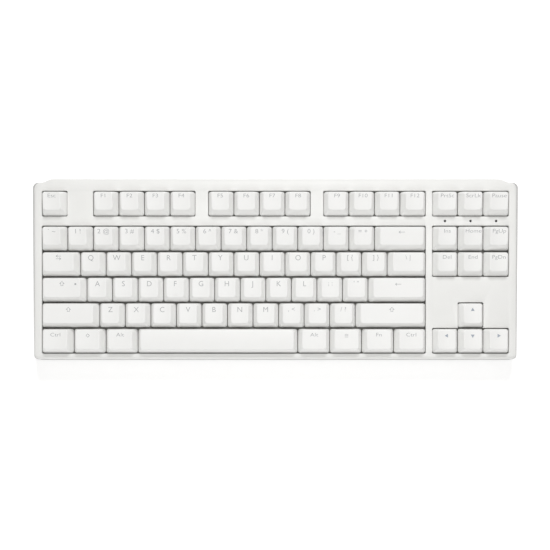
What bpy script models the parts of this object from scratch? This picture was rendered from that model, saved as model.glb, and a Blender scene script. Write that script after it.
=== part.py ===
"""Tenkeyless mechanical keyboard: a two-part plastic case, a switch plate, 87 keys and folding feet.

Metres, +Z up, +X to the typist's right, +Y away from the typist. The origin is on the desk, under
the middle of the case. Everything that belongs to the keys hangs from the empty "typing_plane", whose
own XY plane is the top of the switch plate: it leans back by the typing angle. Inside that frame the
three directions are called across (X), up the board (Y) and height (Z).
"""

import math

import bmesh
import bpy
from mathutils import Matrix, Vector

MM = 0.001

# Driving dimensions
KEY_PITCH = 19.05 * MM
TYPING_ANGLE = math.radians(5.0)
PLATE_HEIGHT = 18.5 * MM  # top of the switch plate above the desk, at the middle of the case
KEY_TRAVEL = 4.0 * MM
CASE_WIDTH = 364.0 * MM
CASE_DEPTH = 135.0 * MM
CLEARANCE = 0.3 * MM  # between pieces that rest on each other
ALIKE = 0.001 * MM  # lengths closer than this are the same

# Key block, measured from the middle of the case
BLOCK_WIDTH_UNITS = 18.25
BLOCK_LEFT = -BLOCK_WIDTH_UNITS / 2 * KEY_PITCH
BOTTOM_ROW = -53.0 * MM
FUNCTION_ROW_UNITS = 5.36  # rows above the bottom row, with the bar under the function keys

# Keycaps
CAP_GAP = 0.95 * MM
CAP_BASE = 6.0 * MM  # lower rim above the plate, key up
CAP_WALL = 1.3 * MM
CAP_CEILING = 4.9 * MM  # inner height above the rim
CAP_SIDE_INSET = 2.75 * MM
DISH_DEPTH = 0.75 * MM
CROWN_RISE = 0.9 * MM  # the space bar's top is raised instead of dished
DISH_STRIPS = 4
# profile: height of the front and back edges of the top, and how far they stand in from the rim
CAP_PROFILES = {
    "number": (7.6 * MM, 9.6 * MM, 2.8 * MM, 1.7 * MM),
    "upper": (7.2 * MM, 8.5 * MM, 2.6 * MM, 1.4 * MM),
    "home": (7.2 * MM, 7.7 * MM, 2.5 * MM, 1.1 * MM),
    "lower": (7.9 * MM, 7.6 * MM, 2.4 * MM, 0.8 * MM),
    "space": (7.4 * MM, 7.6 * MM, 2.0 * MM, 0.8 * MM),
}
STEM_WIDTH = 6.4 * MM
STEM_DEPTH = 5.2 * MM
STEM_REACH = 4.5 * MM  # lower end of the stem above the plate, key up
TIE_LENGTH = 2.4 * MM  # small block that ties two neighbouring caps of one bank
TIE_WIDTH = 3.0 * MM
TIE_HEIGHT = 1.0 * MM
TIE_RISE = 0.4 * MM

# Switches and plate
HOLE_SIZE = 14.0 * MM
SWITCH_LOWER = HOLE_SIZE - 2 * CLEARANCE
SWITCH_FLANGE = 15.0 * MM
SWITCH_TOP_WIDTH = 10.6 * MM
SWITCH_TOP_DEPTH = 9.6 * MM
SWITCH_TOP = 6.2 * MM
STEM_WELL_FLOOR = -3.5 * MM
STEM_PLAY = 0.4 * MM
BASE_SHEET_TOP = -4.3 * MM
BASE_SHEET_BOTTOM = -4.9 * MM
PLATE_THICKNESS = 1.5 * MM
PLATE_OVERHANG = 1.8 * MM  # plate beyond the key block, resting on the ledge of the case
BOARD_TOP = -5.2 * MM
BOARD_THICKNESS = 1.6 * MM
BOARD_MARGIN = -0.4 * MM
PAD_TOP = -7.1 * MM
PAD_THICKNESS = 2.0 * MM
PAD_REAR_SETBACK = 9.5 * MM

# Stabiliser of the space bar
SPACE_POST_OFFSET = 50.0 * MM
POST_WIDTH = 4.4 * MM
POST_DEPTH = 4.4 * MM
POST_REACH = 2.6 * MM
POST_SLOT_WIDTH = 2.4 * MM
POST_SLOT_LOW = 3.4 * MM
POST_SLOT_HIGH = 6.8 * MM
POST_BACK_WALL = 1.2 * MM
WIRE_RADIUS = 0.75 * MM
WIRE_SETBACK = 8.6 * MM  # wire's long run in front of the key's centre
WIRE_HEIGHT = 1.15 * MM
WIRE_ARM = 8.9 * MM
WIRE_BEND = 1.6 * MM
WIRE_LIFT = math.radians(30.0)
CHEEK_WIDTH = 1.2 * MM
CHEEK_DEPTH = 9.0 * MM
CHEEK_TOP = 5.0 * MM

# Return spring of the space bar's switch
SPRING_RADIUS = 1.9 * MM
SPRING_WIRE = 0.2 * MM
SPRING_TURNS = 7
SPRING_STEPS = 10

# Case
PARTING_UPPER = 0.8 * MM  # lower rim of the top case, above the plate plane
PARTING_LOWER = 0.5 * MM  # upper rim of the bottom case
BEZEL_TOP = 7.5 * MM
CASE_SKIN = 2.2 * MM
TOP_CASE_SIDE_INSET = 1.8 * MM  # the bottom case stands proud of the top case by this much at the sides
TOP_CASE_FRONT_INSET = 1.0 * MM
REAR_OVERHANG = 3.2 * MM  # the rear hump hangs over the bottom case
OPENING_MARGIN = 0.35 * MM
CASE_UNDERSIDE = 1.0 * MM
CASE_FLOOR = 3.2 * MM
CASE_CHAMFER = 1.4 * MM
BOARD_DROP = 7.0 * MM  # the well is square under the board, which leans; this lines it up at that depth
WELL_CEILING = 60.0 * MM  # the wells' cutters reach this high, above everything
WELL_MARGIN = 0.4 * MM  # lower cavity beyond the key block's outline
LEDGE_HEIGHT = -1.8 * MM  # the plate rests on this ledge
UPPER_WALL = 2.4 * MM
FRONT_CORNER = 3.0 * MM
REAR_CORNER = 6.0 * MM
CORNER_STEPS = 3
SHOULDER_LENGTH = 9.0 * MM  # the rear edge eases back to full depth over this width
ROLL_START = 0.45  # share of the top case's height that stays upright under the rolled edge
ROLL_STEPS = 4
SIDE_ROLL = 4.0 * MM
FRONT_ROLL = 2.0 * MM
REAR_ROLL = 7.6 * MM
RIM_CUT = 4.0 * MM  # the hollow's cutter reaches this far below the rim

# Indicator windows between the function row and the number row
LIGHT_HOLE_RADIUS = 0.9 * MM
LIGHT_PIN_RADIUS = 0.6 * MM
LIGHT_COLUMNS = (15.75, 16.75, 17.75)
LIGHT_BAR = (43.0 * MM, 2.4 * MM, 1.4 * MM)

# Cable socket in the rear wall
SOCKET_ACROSS = -122.0 * MM
SOCKET_SIZE = (8.9 * MM, 7.2 * MM, 3.2 * MM)
SOCKET_WALL = 0.35 * MM
SOCKET_DEPTH = 5.6 * MM
TONGUE_GAP = 0.9 * MM  # between the shell and the contact tongue inside it
TONGUE_LENGTH = 4.6 * MM
SOCKET_ROUNDING = 1.3 * MM
SOCKET_LIFT = -8.8 * MM
RECESS_SIZE = (13.5 * MM, 3.5 * MM, 8.0 * MM)

# Folding feet under the rear corners
FOOT_ACROSS = 148.0 * MM
FOOT_AXIS_Y = 50.0 * MM
FOOT_AXIS_Z = 3.4 * MM
FOOT_THICKNESS = 4.0 * MM
FOOT_END_STEPS = 6
TALL_FOOT_LENGTH = 17.0 * MM
TALL_FOOT_WIDTH = 22.0 * MM
SHORT_FOOT_LENGTH = 10.5 * MM
SHORT_FOOT_WIDTH = 12.8 * MM
AXLE_RADIUS = 0.9 * MM
AXLE_BORE = 1.2 * MM
AXLE_END = 1.6 * MM  # how far the axle reaches into each pocket wall
POCKET_CLEARANCE = 1.0 * MM
POCKET_CEILING = 6.6 * MM
POCKET_ROOF = 2.0 * MM

# Rubber strips
STRIP_WIDTH = 9.0 * MM
STRIP_HEIGHT = 1.5 * MM
STRIP_GROOVE = 1.8 * MM
STRIP_LENGTHS = {"front": 320.0 * MM, "rear": 220.0 * MM}
STRIP_PLACES = {"front": -55.0 * MM, "rear": 50.0 * MM}

# The rows of keys: names, with widths in key units where they aren't 1. An empty name is a gap.
NAV_GAP = ("", 0.25)
ROWS = {
    "function": ["escape", ("", 1), "f1", "f2", "f3", "f4", ("", 0.5), "f5", "f6", "f7", "f8",
                 ("", 0.5), "f9", "f10", "f11", "f12", NAV_GAP, "print_screen", "scroll_lock", "pause"],
    "number": ["backquote", "1", "2", "3", "4", "5", "6", "7", "8", "9", "0", "minus", "equals",
               ("backspace", 2), NAV_GAP, "insert", "home", "page_up"],
    "upper": [("tab", 1.5), "q", "w", "e", "r", "t", "y", "u", "i", "o", "p", "left_bracket",
              "right_bracket", ("backslash", 1.5), NAV_GAP, "delete", "end", "page_down"],
    "home": [("caps_lock", 1.75), "a", "s", "d", "f", "g", "h", "j", "k", "l", "semicolon", "quote",
             ("enter", 2.25)],
    "lower": [("left_shift", 2.25), "z", "x", "c", "v", "b", "n", "m", "comma", "period", "slash",
              ("right_shift", 2.75), ("", 1.25), "up"],
    "bottom": [("left_control", 1.25), ("left_system", 1.25), ("left_alt", 1.25), ("space", 6.25),
               ("right_alt", 1.25), ("right_system", 1.25), ("function_shift", 1.25),
               ("right_control", 1.25), NAV_GAP, "left", "down", "right"],
}
ROW_UNITS = {"function": FUNCTION_ROW_UNITS, "number": 4, "upper": 3, "home": 2, "lower": 1, "bottom": 0}
ROW_PROFILES = {"function": "number", "number": "number", "upper": "upper", "home": "home",
                "lower": "lower", "bottom": "lower"}

# Keys that share a node. Every other key has a node and a joint of its own.
BANKS = {
    "f1_f4_keys": ["f1", "f2", "f3", "f4"],
    "f5_f8_keys": ["f5", "f6", "f7", "f8"],
    "f9_f12_keys": ["f9", "f10", "f11", "f12"],
    "number_keys": ["backquote", "1", "2", "3", "4", "5", "6", "7", "8", "9", "0", "minus", "equals"],
    "punctuation_keys": ["left_bracket", "right_bracket", "backslash", "semicolon", "quote", "comma",
                         "period", "slash"],
    "left_modifier_keys": ["left_control", "left_system", "left_alt"],
    "right_modifier_keys": ["right_alt", "right_system", "function_shift", "right_control"],
    "system_keys": ["print_screen", "scroll_lock", "pause"],
    "navigation_keys": ["insert", "home", "page_up", "delete", "end", "page_down"],
    "arrow_keys": ["up", "left", "down", "right"],
}

# Openings of the top case, in key units from the left: row, first unit, last unit, rows down
WINDOWS = [
    ("function", 0, 1, 1), ("function", 2, 6, 1), ("function", 6.5, 10.5, 1), ("function", 11, 15, 1),
    ("function", 15.25, 18.25, 1), ("number", 0, 15, 5), ("number", 15.25, 18.25, 2),
    ("lower", 16.25, 17.25, 1), ("bottom", 15.25, 18.25, 1),
]

COLOURS = {  # name: colour, roughness, metallic
    "white_case": ((0.86, 0.86, 0.84), 0.45, 0.0),
    "white_cap": ((0.88, 0.88, 0.86), 0.5, 0.0),
    "grey_plate": ((0.16, 0.16, 0.15), 0.5, 0.6),
    "white_board": ((0.75, 0.76, 0.74), 0.4, 0.0),
    "grey_foam": ((0.2, 0.2, 0.21), 0.9, 0.0),
    "dark_housing": ((0.07, 0.07, 0.07), 0.4, 0.0),
    "smoked_lens": ((0.05, 0.05, 0.05), 0.2, 0.0),
    "steel": ((0.6, 0.6, 0.62), 0.3, 1.0),
    "grey_rubber": ((0.25, 0.25, 0.25), 0.85, 0.0),
}


def clear_scene():
    for obj in list(bpy.data.objects):
        bpy.data.objects.remove(obj)


def material(name):
    made = bpy.data.materials.get(name)
    if made:
        return made
    colour, roughness, metallic = COLOURS[name]
    made = bpy.data.materials.new(name)
    made.use_nodes = True
    shader = made.node_tree.nodes["Principled BSDF"]
    shader.inputs["Base Color"].default_value = (*colour, 1)
    shader.inputs["Roughness"].default_value = roughness
    shader.inputs["Metallic"].default_value = metallic
    return made


def object_from(bm, name, parent=None, place=(0, 0, 0), finish=None):
    """An object from a bmesh. One without a finish is a helper, which isn't part of the keyboard."""
    mesh = bpy.data.meshes.new(name)
    bmesh.ops.recalc_face_normals(bm, faces=bm.faces)
    bm.to_mesh(mesh)
    bm.free()
    obj = bpy.data.objects.new(name, mesh)
    bpy.context.scene.collection.objects.link(obj)
    obj.parent = parent
    obj.location = place
    if finish:
        mesh.materials.append(material(finish))
    else:
        obj.hide_render = True
        obj.display_type = "WIRE"
    return obj


def combine(obj, other, operation):
    boolean = obj.modifiers.new(f"{operation.lower()} {other.name}", "BOOLEAN")
    boolean.operation = operation
    boolean.object = other


def add_box(bm, low, high):
    low, high = Vector(low), Vector(high)
    size = Matrix.Diagonal((*(high - low), 1))
    return bmesh.ops.create_cube(bm, size=1, matrix=Matrix.Translation((low + high) / 2) @ size)["verts"]


def add_boxes(boxes):
    bm = bmesh.new()
    for low, high in boxes:
        add_box(bm, low, high)
    return bm


def add_cylinder(bm, radius, length, centre, direction, segments=12):
    turn = Vector((0, 0, 1)).rotation_difference(Vector(direction)).to_matrix().to_4x4()
    bmesh.ops.create_cone(bm, cap_ends=True, segments=segments, radius1=radius, radius2=radius,
                          depth=length, matrix=Matrix.Translation(centre) @ turn)


def loft(rings):
    """A closed solid whose skin runs through rings of points, from the first to the last."""
    bm = bmesh.new()
    loops = []
    for points in rings:
        verts = [bm.verts.new(p) for p in points]
        loops.append([bm.edges.new(pair) for pair in zip(verts, verts[1:] + verts[:1])])
    for lower, upper in zip(loops, loops[1:]):
        bmesh.ops.bridge_loops(bm, edges=lower + upper)
    for end in (loops[0], loops[-1]):
        bmesh.ops.contextual_create(bm, geom=end)
    return bm


# The keys


def keys_by_name():
    """name: (row, centre across, centre up the board, width in units)."""
    found = {}
    for row, entries in ROWS.items():
        units = 0.0
        for entry in entries:
            name, width = entry if isinstance(entry, tuple) else (entry, 1)
            if name:
                across = BLOCK_LEFT + (units + width / 2) * KEY_PITCH
                found[name] = (row, across, row_centre(row), width)
            units += width
    return found


def row_centre(row):
    return BOTTOM_ROW + ROW_UNITS[row] * KEY_PITCH


def profile_of(name, row):
    return CAP_PROFILES["space" if name == "space" else ROW_PROFILES[row]]


def cap_mesh(bm, width_units, profile, centre, crowned):
    """A hollow cap with its rim on height zero, around centre. The top is dished across, or crowned."""
    front_height, back_height, front_inset, back_inset = profile
    half_width = (width_units * KEY_PITCH - CAP_GAP) / 2
    half_depth = (KEY_PITCH - CAP_GAP) / 2
    first = len(bm.verts)
    corners = add_box(bm, (-half_width, -half_depth, 0), (half_width, half_depth, 1 * MM))
    top = [corner for corner in corners if corner.co.z > 0]
    rim = min({face for corner in corners for face in corner.link_faces},
              key=lambda face: face.calc_center_median().z)
    for corner in top:
        corner.co.x = math.copysign(half_width - CAP_SIDE_INSET, corner.co.x)
        at_back = corner.co.y > 0
        corner.co.y = half_depth - back_inset if at_back else front_inset - half_depth
        corner.co.z = back_height if at_back else front_height
    bmesh.ops.inset_individual(bm, faces=[rim], thickness=CAP_WALL, use_even_offset=True)
    ceiling = bmesh.ops.extrude_discrete_faces(bm, faces=[rim])["faces"][0]
    rise = CAP_CEILING / max(front_height, back_height)
    for corner in ceiling.verts:
        corner.co.x -= math.copysign(rise * CAP_SIDE_INSET, corner.co.x)
        corner.co.y += -rise * back_inset if corner.co.y > 0 else rise * front_inset
        corner.co.z = CAP_CEILING
    curve_top(bm, top, crowned)
    bmesh.ops.translate(bm, verts=list(bm.verts)[first:], vec=centre)


def curve_top(bm, top, crowned):
    """Cuts the top of a cap into strips: sunk along an arc from side to side, or raised from front to back."""
    along = 1 if crowned else 0
    ends = {edge for corner in top for edge in corner.link_edges if all(vert in top for vert in edge.verts)}
    ends = [edge for edge in ends if abs(edge.verts[0].co[1 - along] - edge.verts[1].co[1 - along]) < ALIKE]
    low = min(corner.co[along] for corner in top)
    high = max(corner.co[along] for corner in top)
    cut = bmesh.ops.subdivide_edges(bm, edges=ends, cuts=DISH_STRIPS - 1, use_grid_fill=True)
    for vert in cut["geom_inner"]:
        if isinstance(vert, bmesh.types.BMVert):
            place = (2 * vert.co[along] - low - high) / (high - low)
            vert.co.z += (CROWN_RISE if crowned else -DISH_DEPTH) * (1 - place ** 2)


def stem_box(across, up):
    return ((across - STEM_WIDTH / 2, up - STEM_DEPTH / 2, STEM_REACH - CAP_BASE),
            (across + STEM_WIDTH / 2, up + STEM_DEPTH / 2, CAP_CEILING + CLEARANCE))


def tie_boxes(names, keys):
    """A small block between each pair of neighbouring caps of a bank."""
    boxes = []
    for i, first in enumerate(names):
        for second in names[i + 1:]:
            _, x1, y1, w1 = keys[first]
            _, x2, y2, w2 = keys[second]
            reach = (w1 + w2) / 2 * KEY_PITCH
            if abs(y1 - y2) < ALIKE and abs(abs(x1 - x2) - reach) < ALIKE:
                middle = Vector((max(x1 - w1 / 2 * KEY_PITCH, x2 - w2 / 2 * KEY_PITCH), y1, TIE_RISE))
                half = Vector((TIE_LENGTH / 2, TIE_WIDTH / 2, 0))
            elif abs(abs(y1 - y2) - KEY_PITCH) < ALIKE and abs(x1 - x2) < reach - KEY_PITCH / 4 - ALIKE:
                low = max(x1 - w1 / 2 * KEY_PITCH, x2 - w2 / 2 * KEY_PITCH)
                high = min(x1 + w1 / 2 * KEY_PITCH, x2 + w2 / 2 * KEY_PITCH)
                middle = Vector(((low + high) / 2, (y1 + y2) / 2, TIE_RISE))
                half = Vector((TIE_WIDTH / 2, TIE_LENGTH / 2, 0))
            else:
                continue
            boxes.append((middle - half, middle + half + Vector((0, 0, TIE_HEIGHT))))
    return boxes


def make_keys(typing_plane, keys):
    banked = {name for names in BANKS.values() for name in names}
    groups = {f"{name}_key": [name] for name in keys if name not in banked}
    groups.update(BANKS)
    for node, names in groups.items():
        centre = sum((Vector(keys[name][1:3]) for name in names), Vector((0, 0))) / len(names)
        offset = Vector((centre.x, centre.y, 0))
        caps, inner = bmesh.new(), []
        for name in names:
            row, across, up, width = keys[name]
            place = Vector((across, up, 0)) - offset
            cap_mesh(caps, width, profile_of(name, row), place, name == "space")
            inner.append(stem_box(place.x, place.y))
        place = (centre.x, centre.y, CAP_BASE)
        key = object_from(caps, node, typing_plane, place, "white_cap")
        ties = [(low - offset, high - offset) for low, high in tie_boxes(names, keys)]
        stems = object_from(add_boxes(inner), f"{node}_stems", typing_plane, place)
        combine(key, stems, "UNION")
        if ties:
            combine(key, object_from(add_boxes(ties), f"{node}_ties", typing_plane, place), "UNION")
        if names == ["space"]:
            add_stabiliser_posts(key, typing_plane, place)


# The space bar's stabiliser and spring


def add_stabiliser_posts(key, typing_plane, place):
    posts, slots = [], []
    for side in (-1, 1):
        x = side * SPACE_POST_OFFSET
        posts.append(((x - POST_WIDTH / 2, -POST_DEPTH / 2, POST_REACH - CAP_BASE),
                      (x + POST_WIDTH / 2, POST_DEPTH / 2, CAP_CEILING + CLEARANCE)))
        slots.append(((x - POST_SLOT_WIDTH / 2, -POST_DEPTH, POST_SLOT_LOW - CAP_BASE),
                      (x + POST_SLOT_WIDTH / 2, POST_DEPTH / 2 - POST_BACK_WALL, POST_SLOT_HIGH - CAP_BASE)))
    combine(key, object_from(add_boxes(posts), "space_posts", typing_plane, place), "UNION")
    combine(key, object_from(add_boxes(slots), "space_post_slots", typing_plane, place), "DIFFERENCE")


def curve_object(name, points, radius, resolution, parent, place, finish):
    curve = bpy.data.curves.new(name, "CURVE")
    curve.dimensions = "3D"
    curve.bevel_depth = radius
    curve.bevel_resolution = resolution
    curve.use_fill_caps = True
    spline = curve.splines.new("POLY")
    spline.points.add(len(points) - 1)
    for point, where in zip(spline.points, points):
        point.co = (*where, 1)
    curve.materials.append(material(finish))
    obj = bpy.data.objects.new(name, curve)
    bpy.context.scene.collection.objects.link(obj)
    obj.parent = parent
    obj.location = place
    return obj


def make_stabiliser_wire(typing_plane, keys):
    """A wire whose long run turns in front of the switch, and whose two arms lift the space bar's posts."""
    _, across, up, _ = keys["space"]
    steps = 4
    points = []
    for side in (-1, 1):
        arm = [Vector((side * SPACE_POST_OFFSET, WIRE_ARM, 0))]
        for i in range(steps + 1):
            turn = i / steps * math.pi / 2
            arm.append(Vector((side * (SPACE_POST_OFFSET - WIRE_BEND * (1 - math.cos(turn))),
                               WIRE_BEND * (1 - math.sin(turn)), 0)))
        points += arm if side < 0 else arm[::-1]
    wire = curve_object("space_stabiliser_wire", points, WIRE_RADIUS, 1, typing_plane,
                        (across, up - WIRE_SETBACK, WIRE_HEIGHT), "steel")
    wire.rotation_euler.x = WIRE_LIFT


def make_spring(typing_plane, keys):
    _, across, up, _ = keys["space"]
    low = STEM_WELL_FLOOR + CLEARANCE + SPRING_WIRE
    high = STEM_REACH - CLEARANCE - SPRING_WIRE
    count = SPRING_TURNS * SPRING_STEPS
    points = [Vector((SPRING_RADIUS * math.cos(2 * math.pi * i / SPRING_STEPS),
                      SPRING_RADIUS * math.sin(2 * math.pi * i / SPRING_STEPS),
                      (high - low) * i / count)) for i in range(count + 1)]
    curve_object("space_return_spring", points, SPRING_WIRE, 0, typing_plane, (across, up, low), "steel")


# Plate, switches, board and damping pad


def block_box(margin, low, high, rear_setback=0.0):
    """A slab under the whole key block, grown by margin on each side."""
    front = BOTTOM_ROW - KEY_PITCH / 2 - margin
    back = row_centre("function") + KEY_PITCH / 2 + margin - rear_setback
    return ((BLOCK_LEFT - margin, front, low), (-BLOCK_LEFT + margin, back, high))


def square(across, up, size, low, high, depth=None):
    half = Vector((size / 2, (depth or size) / 2, 0))
    return (Vector((across, up, low)) - half, Vector((across, up, high)) + half)


def make_plate(typing_plane, keys):
    slab = add_boxes([block_box(PLATE_OVERHANG, -PLATE_THICKNESS, 0)])
    plate = object_from(slab, "switch_plate", typing_plane, finish="grey_plate")
    beyond = PLATE_THICKNESS
    holes = [square(x, y, HOLE_SIZE, -PLATE_THICKNESS - beyond, beyond) for _, x, y, _ in keys.values()]
    _, across, up, _ = keys["space"]
    width = POST_WIDTH + 2 * (CHEEK_WIDTH + 4 * CLEARANCE)
    holes += [square(across + side * SPACE_POST_OFFSET, up, width, -PLATE_THICKNESS - beyond, beyond,
                     CHEEK_DEPTH + 2 * CLEARANCE) for side in (-1, 1)]
    combine(plate, object_from(add_boxes(holes), "plate_holes", typing_plane), "DIFFERENCE")


def switch_mesh(bm, across, up):
    """One housing: a square body under the plate, a flange on it and a tapered top with the stem's well."""
    body = add_box(bm, *square(0, 0, SWITCH_LOWER, (BASE_SHEET_TOP + BASE_SHEET_BOTTOM) / 2, CLEARANCE))
    top = max({face for vert in body for face in vert.link_faces}, key=lambda face: face.calc_center_median().z)
    stages = [(SWITCH_FLANGE, SWITCH_FLANGE, CLEARANCE), (SWITCH_TOP_WIDTH, SWITCH_TOP_DEPTH, SWITCH_TOP),
              (STEM_WIDTH + 2 * STEM_PLAY, STEM_DEPTH + 2 * STEM_PLAY, SWITCH_TOP),
              (STEM_WIDTH + 2 * STEM_PLAY, STEM_DEPTH + 2 * STEM_PLAY, STEM_WELL_FLOOR)]
    made = set(body)
    for width, depth, height in stages:
        top = bmesh.ops.extrude_discrete_faces(bm, faces=[top])["faces"][0]
        for vert in top.verts:
            vert.co = Vector((math.copysign(width / 2, vert.co.x), math.copysign(depth / 2, vert.co.y), height))
        made |= set(top.verts)
    bmesh.ops.translate(bm, verts=list(made), vec=(across, up, 0))


def make_switches(typing_plane, keys):
    bm = bmesh.new()
    for _, across, up, _ in keys.values():
        switch_mesh(bm, across, up)
    housings = object_from(bm, "switch_housings", typing_plane, finish="dark_housing")
    joined = [block_box(BOARD_MARGIN, BASE_SHEET_BOTTOM, BASE_SHEET_TOP)]
    _, across, up, _ = keys["space"]
    for side in (-1, 1):
        for edge in (-1, 1):
            x = across + side * SPACE_POST_OFFSET + edge * (POST_WIDTH / 2 + 2 * CLEARANCE + CHEEK_WIDTH / 2)
            joined.append(square(x, up, CHEEK_WIDTH, BASE_SHEET_TOP - CLEARANCE, CHEEK_TOP, CHEEK_DEPTH))
    sheet = object_from(add_boxes(joined[:1]), "switch_base_sheet", typing_plane)
    cheeks = object_from(add_boxes(joined[1:]), "stabiliser_cheeks", typing_plane)
    combine(housings, sheet, "UNION")
    combine(housings, cheeks, "UNION")


def make_board(typing_plane):
    slab = add_boxes([block_box(BOARD_MARGIN, BOARD_TOP - BOARD_THICKNESS, BOARD_TOP)])
    object_from(slab, "circuit_board", typing_plane, finish="white_board")
    pad = add_boxes([block_box(BOARD_MARGIN - MM, PAD_TOP - PAD_THICKNESS, PAD_TOP, PAD_REAR_SETBACK)])
    object_from(pad, "damping_pad", typing_plane, finish="grey_foam")


def make_light_pipe(typing_plane):
    up = (row_centre("function") + row_centre("number")) / 2
    columns = [BLOCK_LEFT + column * KEY_PITCH for column in LIGHT_COLUMNS]
    length, width, height = LIGHT_BAR
    top = BEZEL_TOP - CASE_SKIN - CLEARANCE
    middle = columns[1]
    bar = add_boxes([((middle - length / 2, up - width / 2, top - height), (middle + length / 2, up + width / 2, top))])
    pipe = object_from(bar, "indicator_light_pipe", typing_plane, finish="smoked_lens")
    pins = bmesh.new()
    for across in columns:
        low, high = top - height / 2, BEZEL_TOP - CLEARANCE
        add_cylinder(pins, LIGHT_PIN_RADIUS, high - low, (across, up, (low + high) / 2), (0, 0, 1), 10)
    combine(pipe, object_from(pins, "light_pins", typing_plane), "UNION")
    return columns, up


# The case


def outline(side, front, rear, front_corner, rear_corner, shoulder=None):
    """Points round the case in plan, mirrored about the middle, set in from the case's side and front.

    The sides run straight back to the rear corners. With a shoulder, the rear edge then eases back from
    the corners by that much, and the rear line is the edge's middle."""
    half_width = CASE_WIDTH / 2 - side
    front_edge = -CASE_DEPTH / 2 + front
    corner_rear = rear - (shoulder or 0)
    right = []
    for i in range(CORNER_STEPS + 1):
        turn = math.pi / 2 * i / CORNER_STEPS
        right.append((half_width - front_corner * (1 - math.sin(turn)),
                      front_edge + front_corner * (1 - math.cos(turn))))
    for i in range(CORNER_STEPS + 1):
        turn = math.pi / 2 * i / CORNER_STEPS
        right.append((half_width - rear_corner * (1 - math.cos(turn)),
                      corner_rear - rear_corner * (1 - math.sin(turn))))
    if shoulder is not None:
        for i in range(1, CORNER_STEPS + 1):
            step = i / CORNER_STEPS
            ease = step * step * (3 - 2 * step)
            right.append((half_width - rear_corner - step * SHOULDER_LENGTH, corner_rear + ease * shoulder))
    return right + [(-x, y) for x, y in reversed(right)]


def on_plane(points, height):
    """Lifts plan points onto the plane that lies height above the typing plane."""
    rise = PLATE_HEIGHT + height / math.cos(TYPING_ANGLE)
    return [Vector((x, y, rise + y * math.tan(TYPING_ANGLE))) for x, y in points]


def top_case_rings(skin=0.0):
    """Rings from the lower rim to the flat bezel. The rear rolls over a long curve, the rest over a short one."""
    side = TOP_CASE_SIDE_INSET + skin
    front = TOP_CASE_FRONT_INSET + skin
    rear = CASE_DEPTH / 2 - skin
    top = BEZEL_TOP - skin
    rim = PARTING_UPPER - (RIM_CUT if skin else 0)
    rings = [on_plane(outline(side, front, rear, FRONT_CORNER, REAR_CORNER, REAR_OVERHANG), rim)]
    for i in range(ROLL_STEPS + 1):
        turn = math.pi / 2 * i / ROLL_STEPS
        inward = 1 - math.cos(turn)
        height = PARTING_UPPER + (top - PARTING_UPPER) * (ROLL_START + (1 - ROLL_START) * math.sin(turn))
        ring = outline(side + SIDE_ROLL * inward, front + FRONT_ROLL * inward, rear - REAR_ROLL * inward,
                       FRONT_CORNER, REAR_CORNER + REAR_ROLL * inward / 2, REAR_OVERHANG * (1 - inward))
        rings.append(on_plane(ring, height))
    return rings


def make_top_case(typing_plane, columns, light_row):
    case = object_from(loft(top_case_rings()), "top_case", finish="white_case")
    combine(case, object_from(loft(top_case_rings(CASE_SKIN)), "top_case_inside"), "DIFFERENCE")
    windows = []
    for row, first, last, rows in WINDOWS:
        back = row_centre(row) + KEY_PITCH / 2 + OPENING_MARGIN
        front = back - rows * KEY_PITCH - 2 * OPENING_MARGIN
        windows.append(((BLOCK_LEFT + first * KEY_PITCH - OPENING_MARGIN, front, 0),
                        (BLOCK_LEFT + last * KEY_PITCH + OPENING_MARGIN, back, 2 * BEZEL_TOP)))
    arrows = windows.pop(-2)
    combine(case, object_from(add_boxes(windows), "key_windows", typing_plane), "DIFFERENCE")
    combine(case, object_from(add_boxes([arrows]), "up_key_window", typing_plane), "DIFFERENCE")
    lights = bmesh.new()
    for across in columns:
        add_cylinder(lights, LIGHT_HOLE_RADIUS, 2 * CASE_SKIN, (across, light_row, BEZEL_TOP - CASE_SKIN / 2), (0, 0, 1))
    combine(case, object_from(lights, "light_holes", typing_plane), "DIFFERENCE")


def bottom_case_rings():
    rear = CASE_DEPTH / 2 - REAR_OVERHANG
    corner = REAR_CORNER + TOP_CASE_SIDE_INSET
    full = outline(0, 0, rear, FRONT_CORNER, corner)
    foot = outline(CASE_CHAMFER, CASE_CHAMFER, rear - CASE_CHAMFER, FRONT_CORNER, corner)
    underside = [Vector((x, y, CASE_UNDERSIDE)) for x, y in foot]
    shoulder = [Vector((x, y, CASE_UNDERSIDE + CASE_CHAMFER)) for x, y in full]
    return [underside, shoulder, on_plane(full, PARTING_LOWER)]


def pocket_box(side, grow=0.0):
    """The recess that a pair of nested feet folds into, or the block that surrounds it."""
    half = TALL_FOOT_WIDTH / 2 + CLEARANCE + grow
    front = FOOT_AXIS_Y - TALL_FOOT_LENGTH - POCKET_CLEARANCE - grow
    back = FOOT_AXIS_Y + FOOT_THICKNESS / 2 + POCKET_CLEARANCE + grow
    ceiling = POCKET_CEILING + min(grow, POCKET_ROOF)
    return ((side * FOOT_ACROSS - half, front, 0), (side * FOOT_ACROSS + half, back, ceiling))


def lower_well():
    """The room under the board, with the blocks round the foot pockets left standing in it."""
    (left, front, _), (right, back, _) = block_box(WELL_MARGIN, 0, 0)
    lean = math.cos(TYPING_ANGLE)
    drop = BOARD_DROP * math.sin(TYPING_ANGLE)
    low = (left, front * lean + drop, CASE_FLOOR)
    high = (right, back * lean + drop, WELL_CEILING)
    well = object_from(add_boxes([(low, high)]), "lower_well")
    blocks = [pocket_box(side, AXLE_END + POCKET_ROOF) for side in (-1, 1)]
    combine(well, object_from(add_boxes(blocks), "pocket_blocks"), "DIFFERENCE")
    return well


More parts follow.
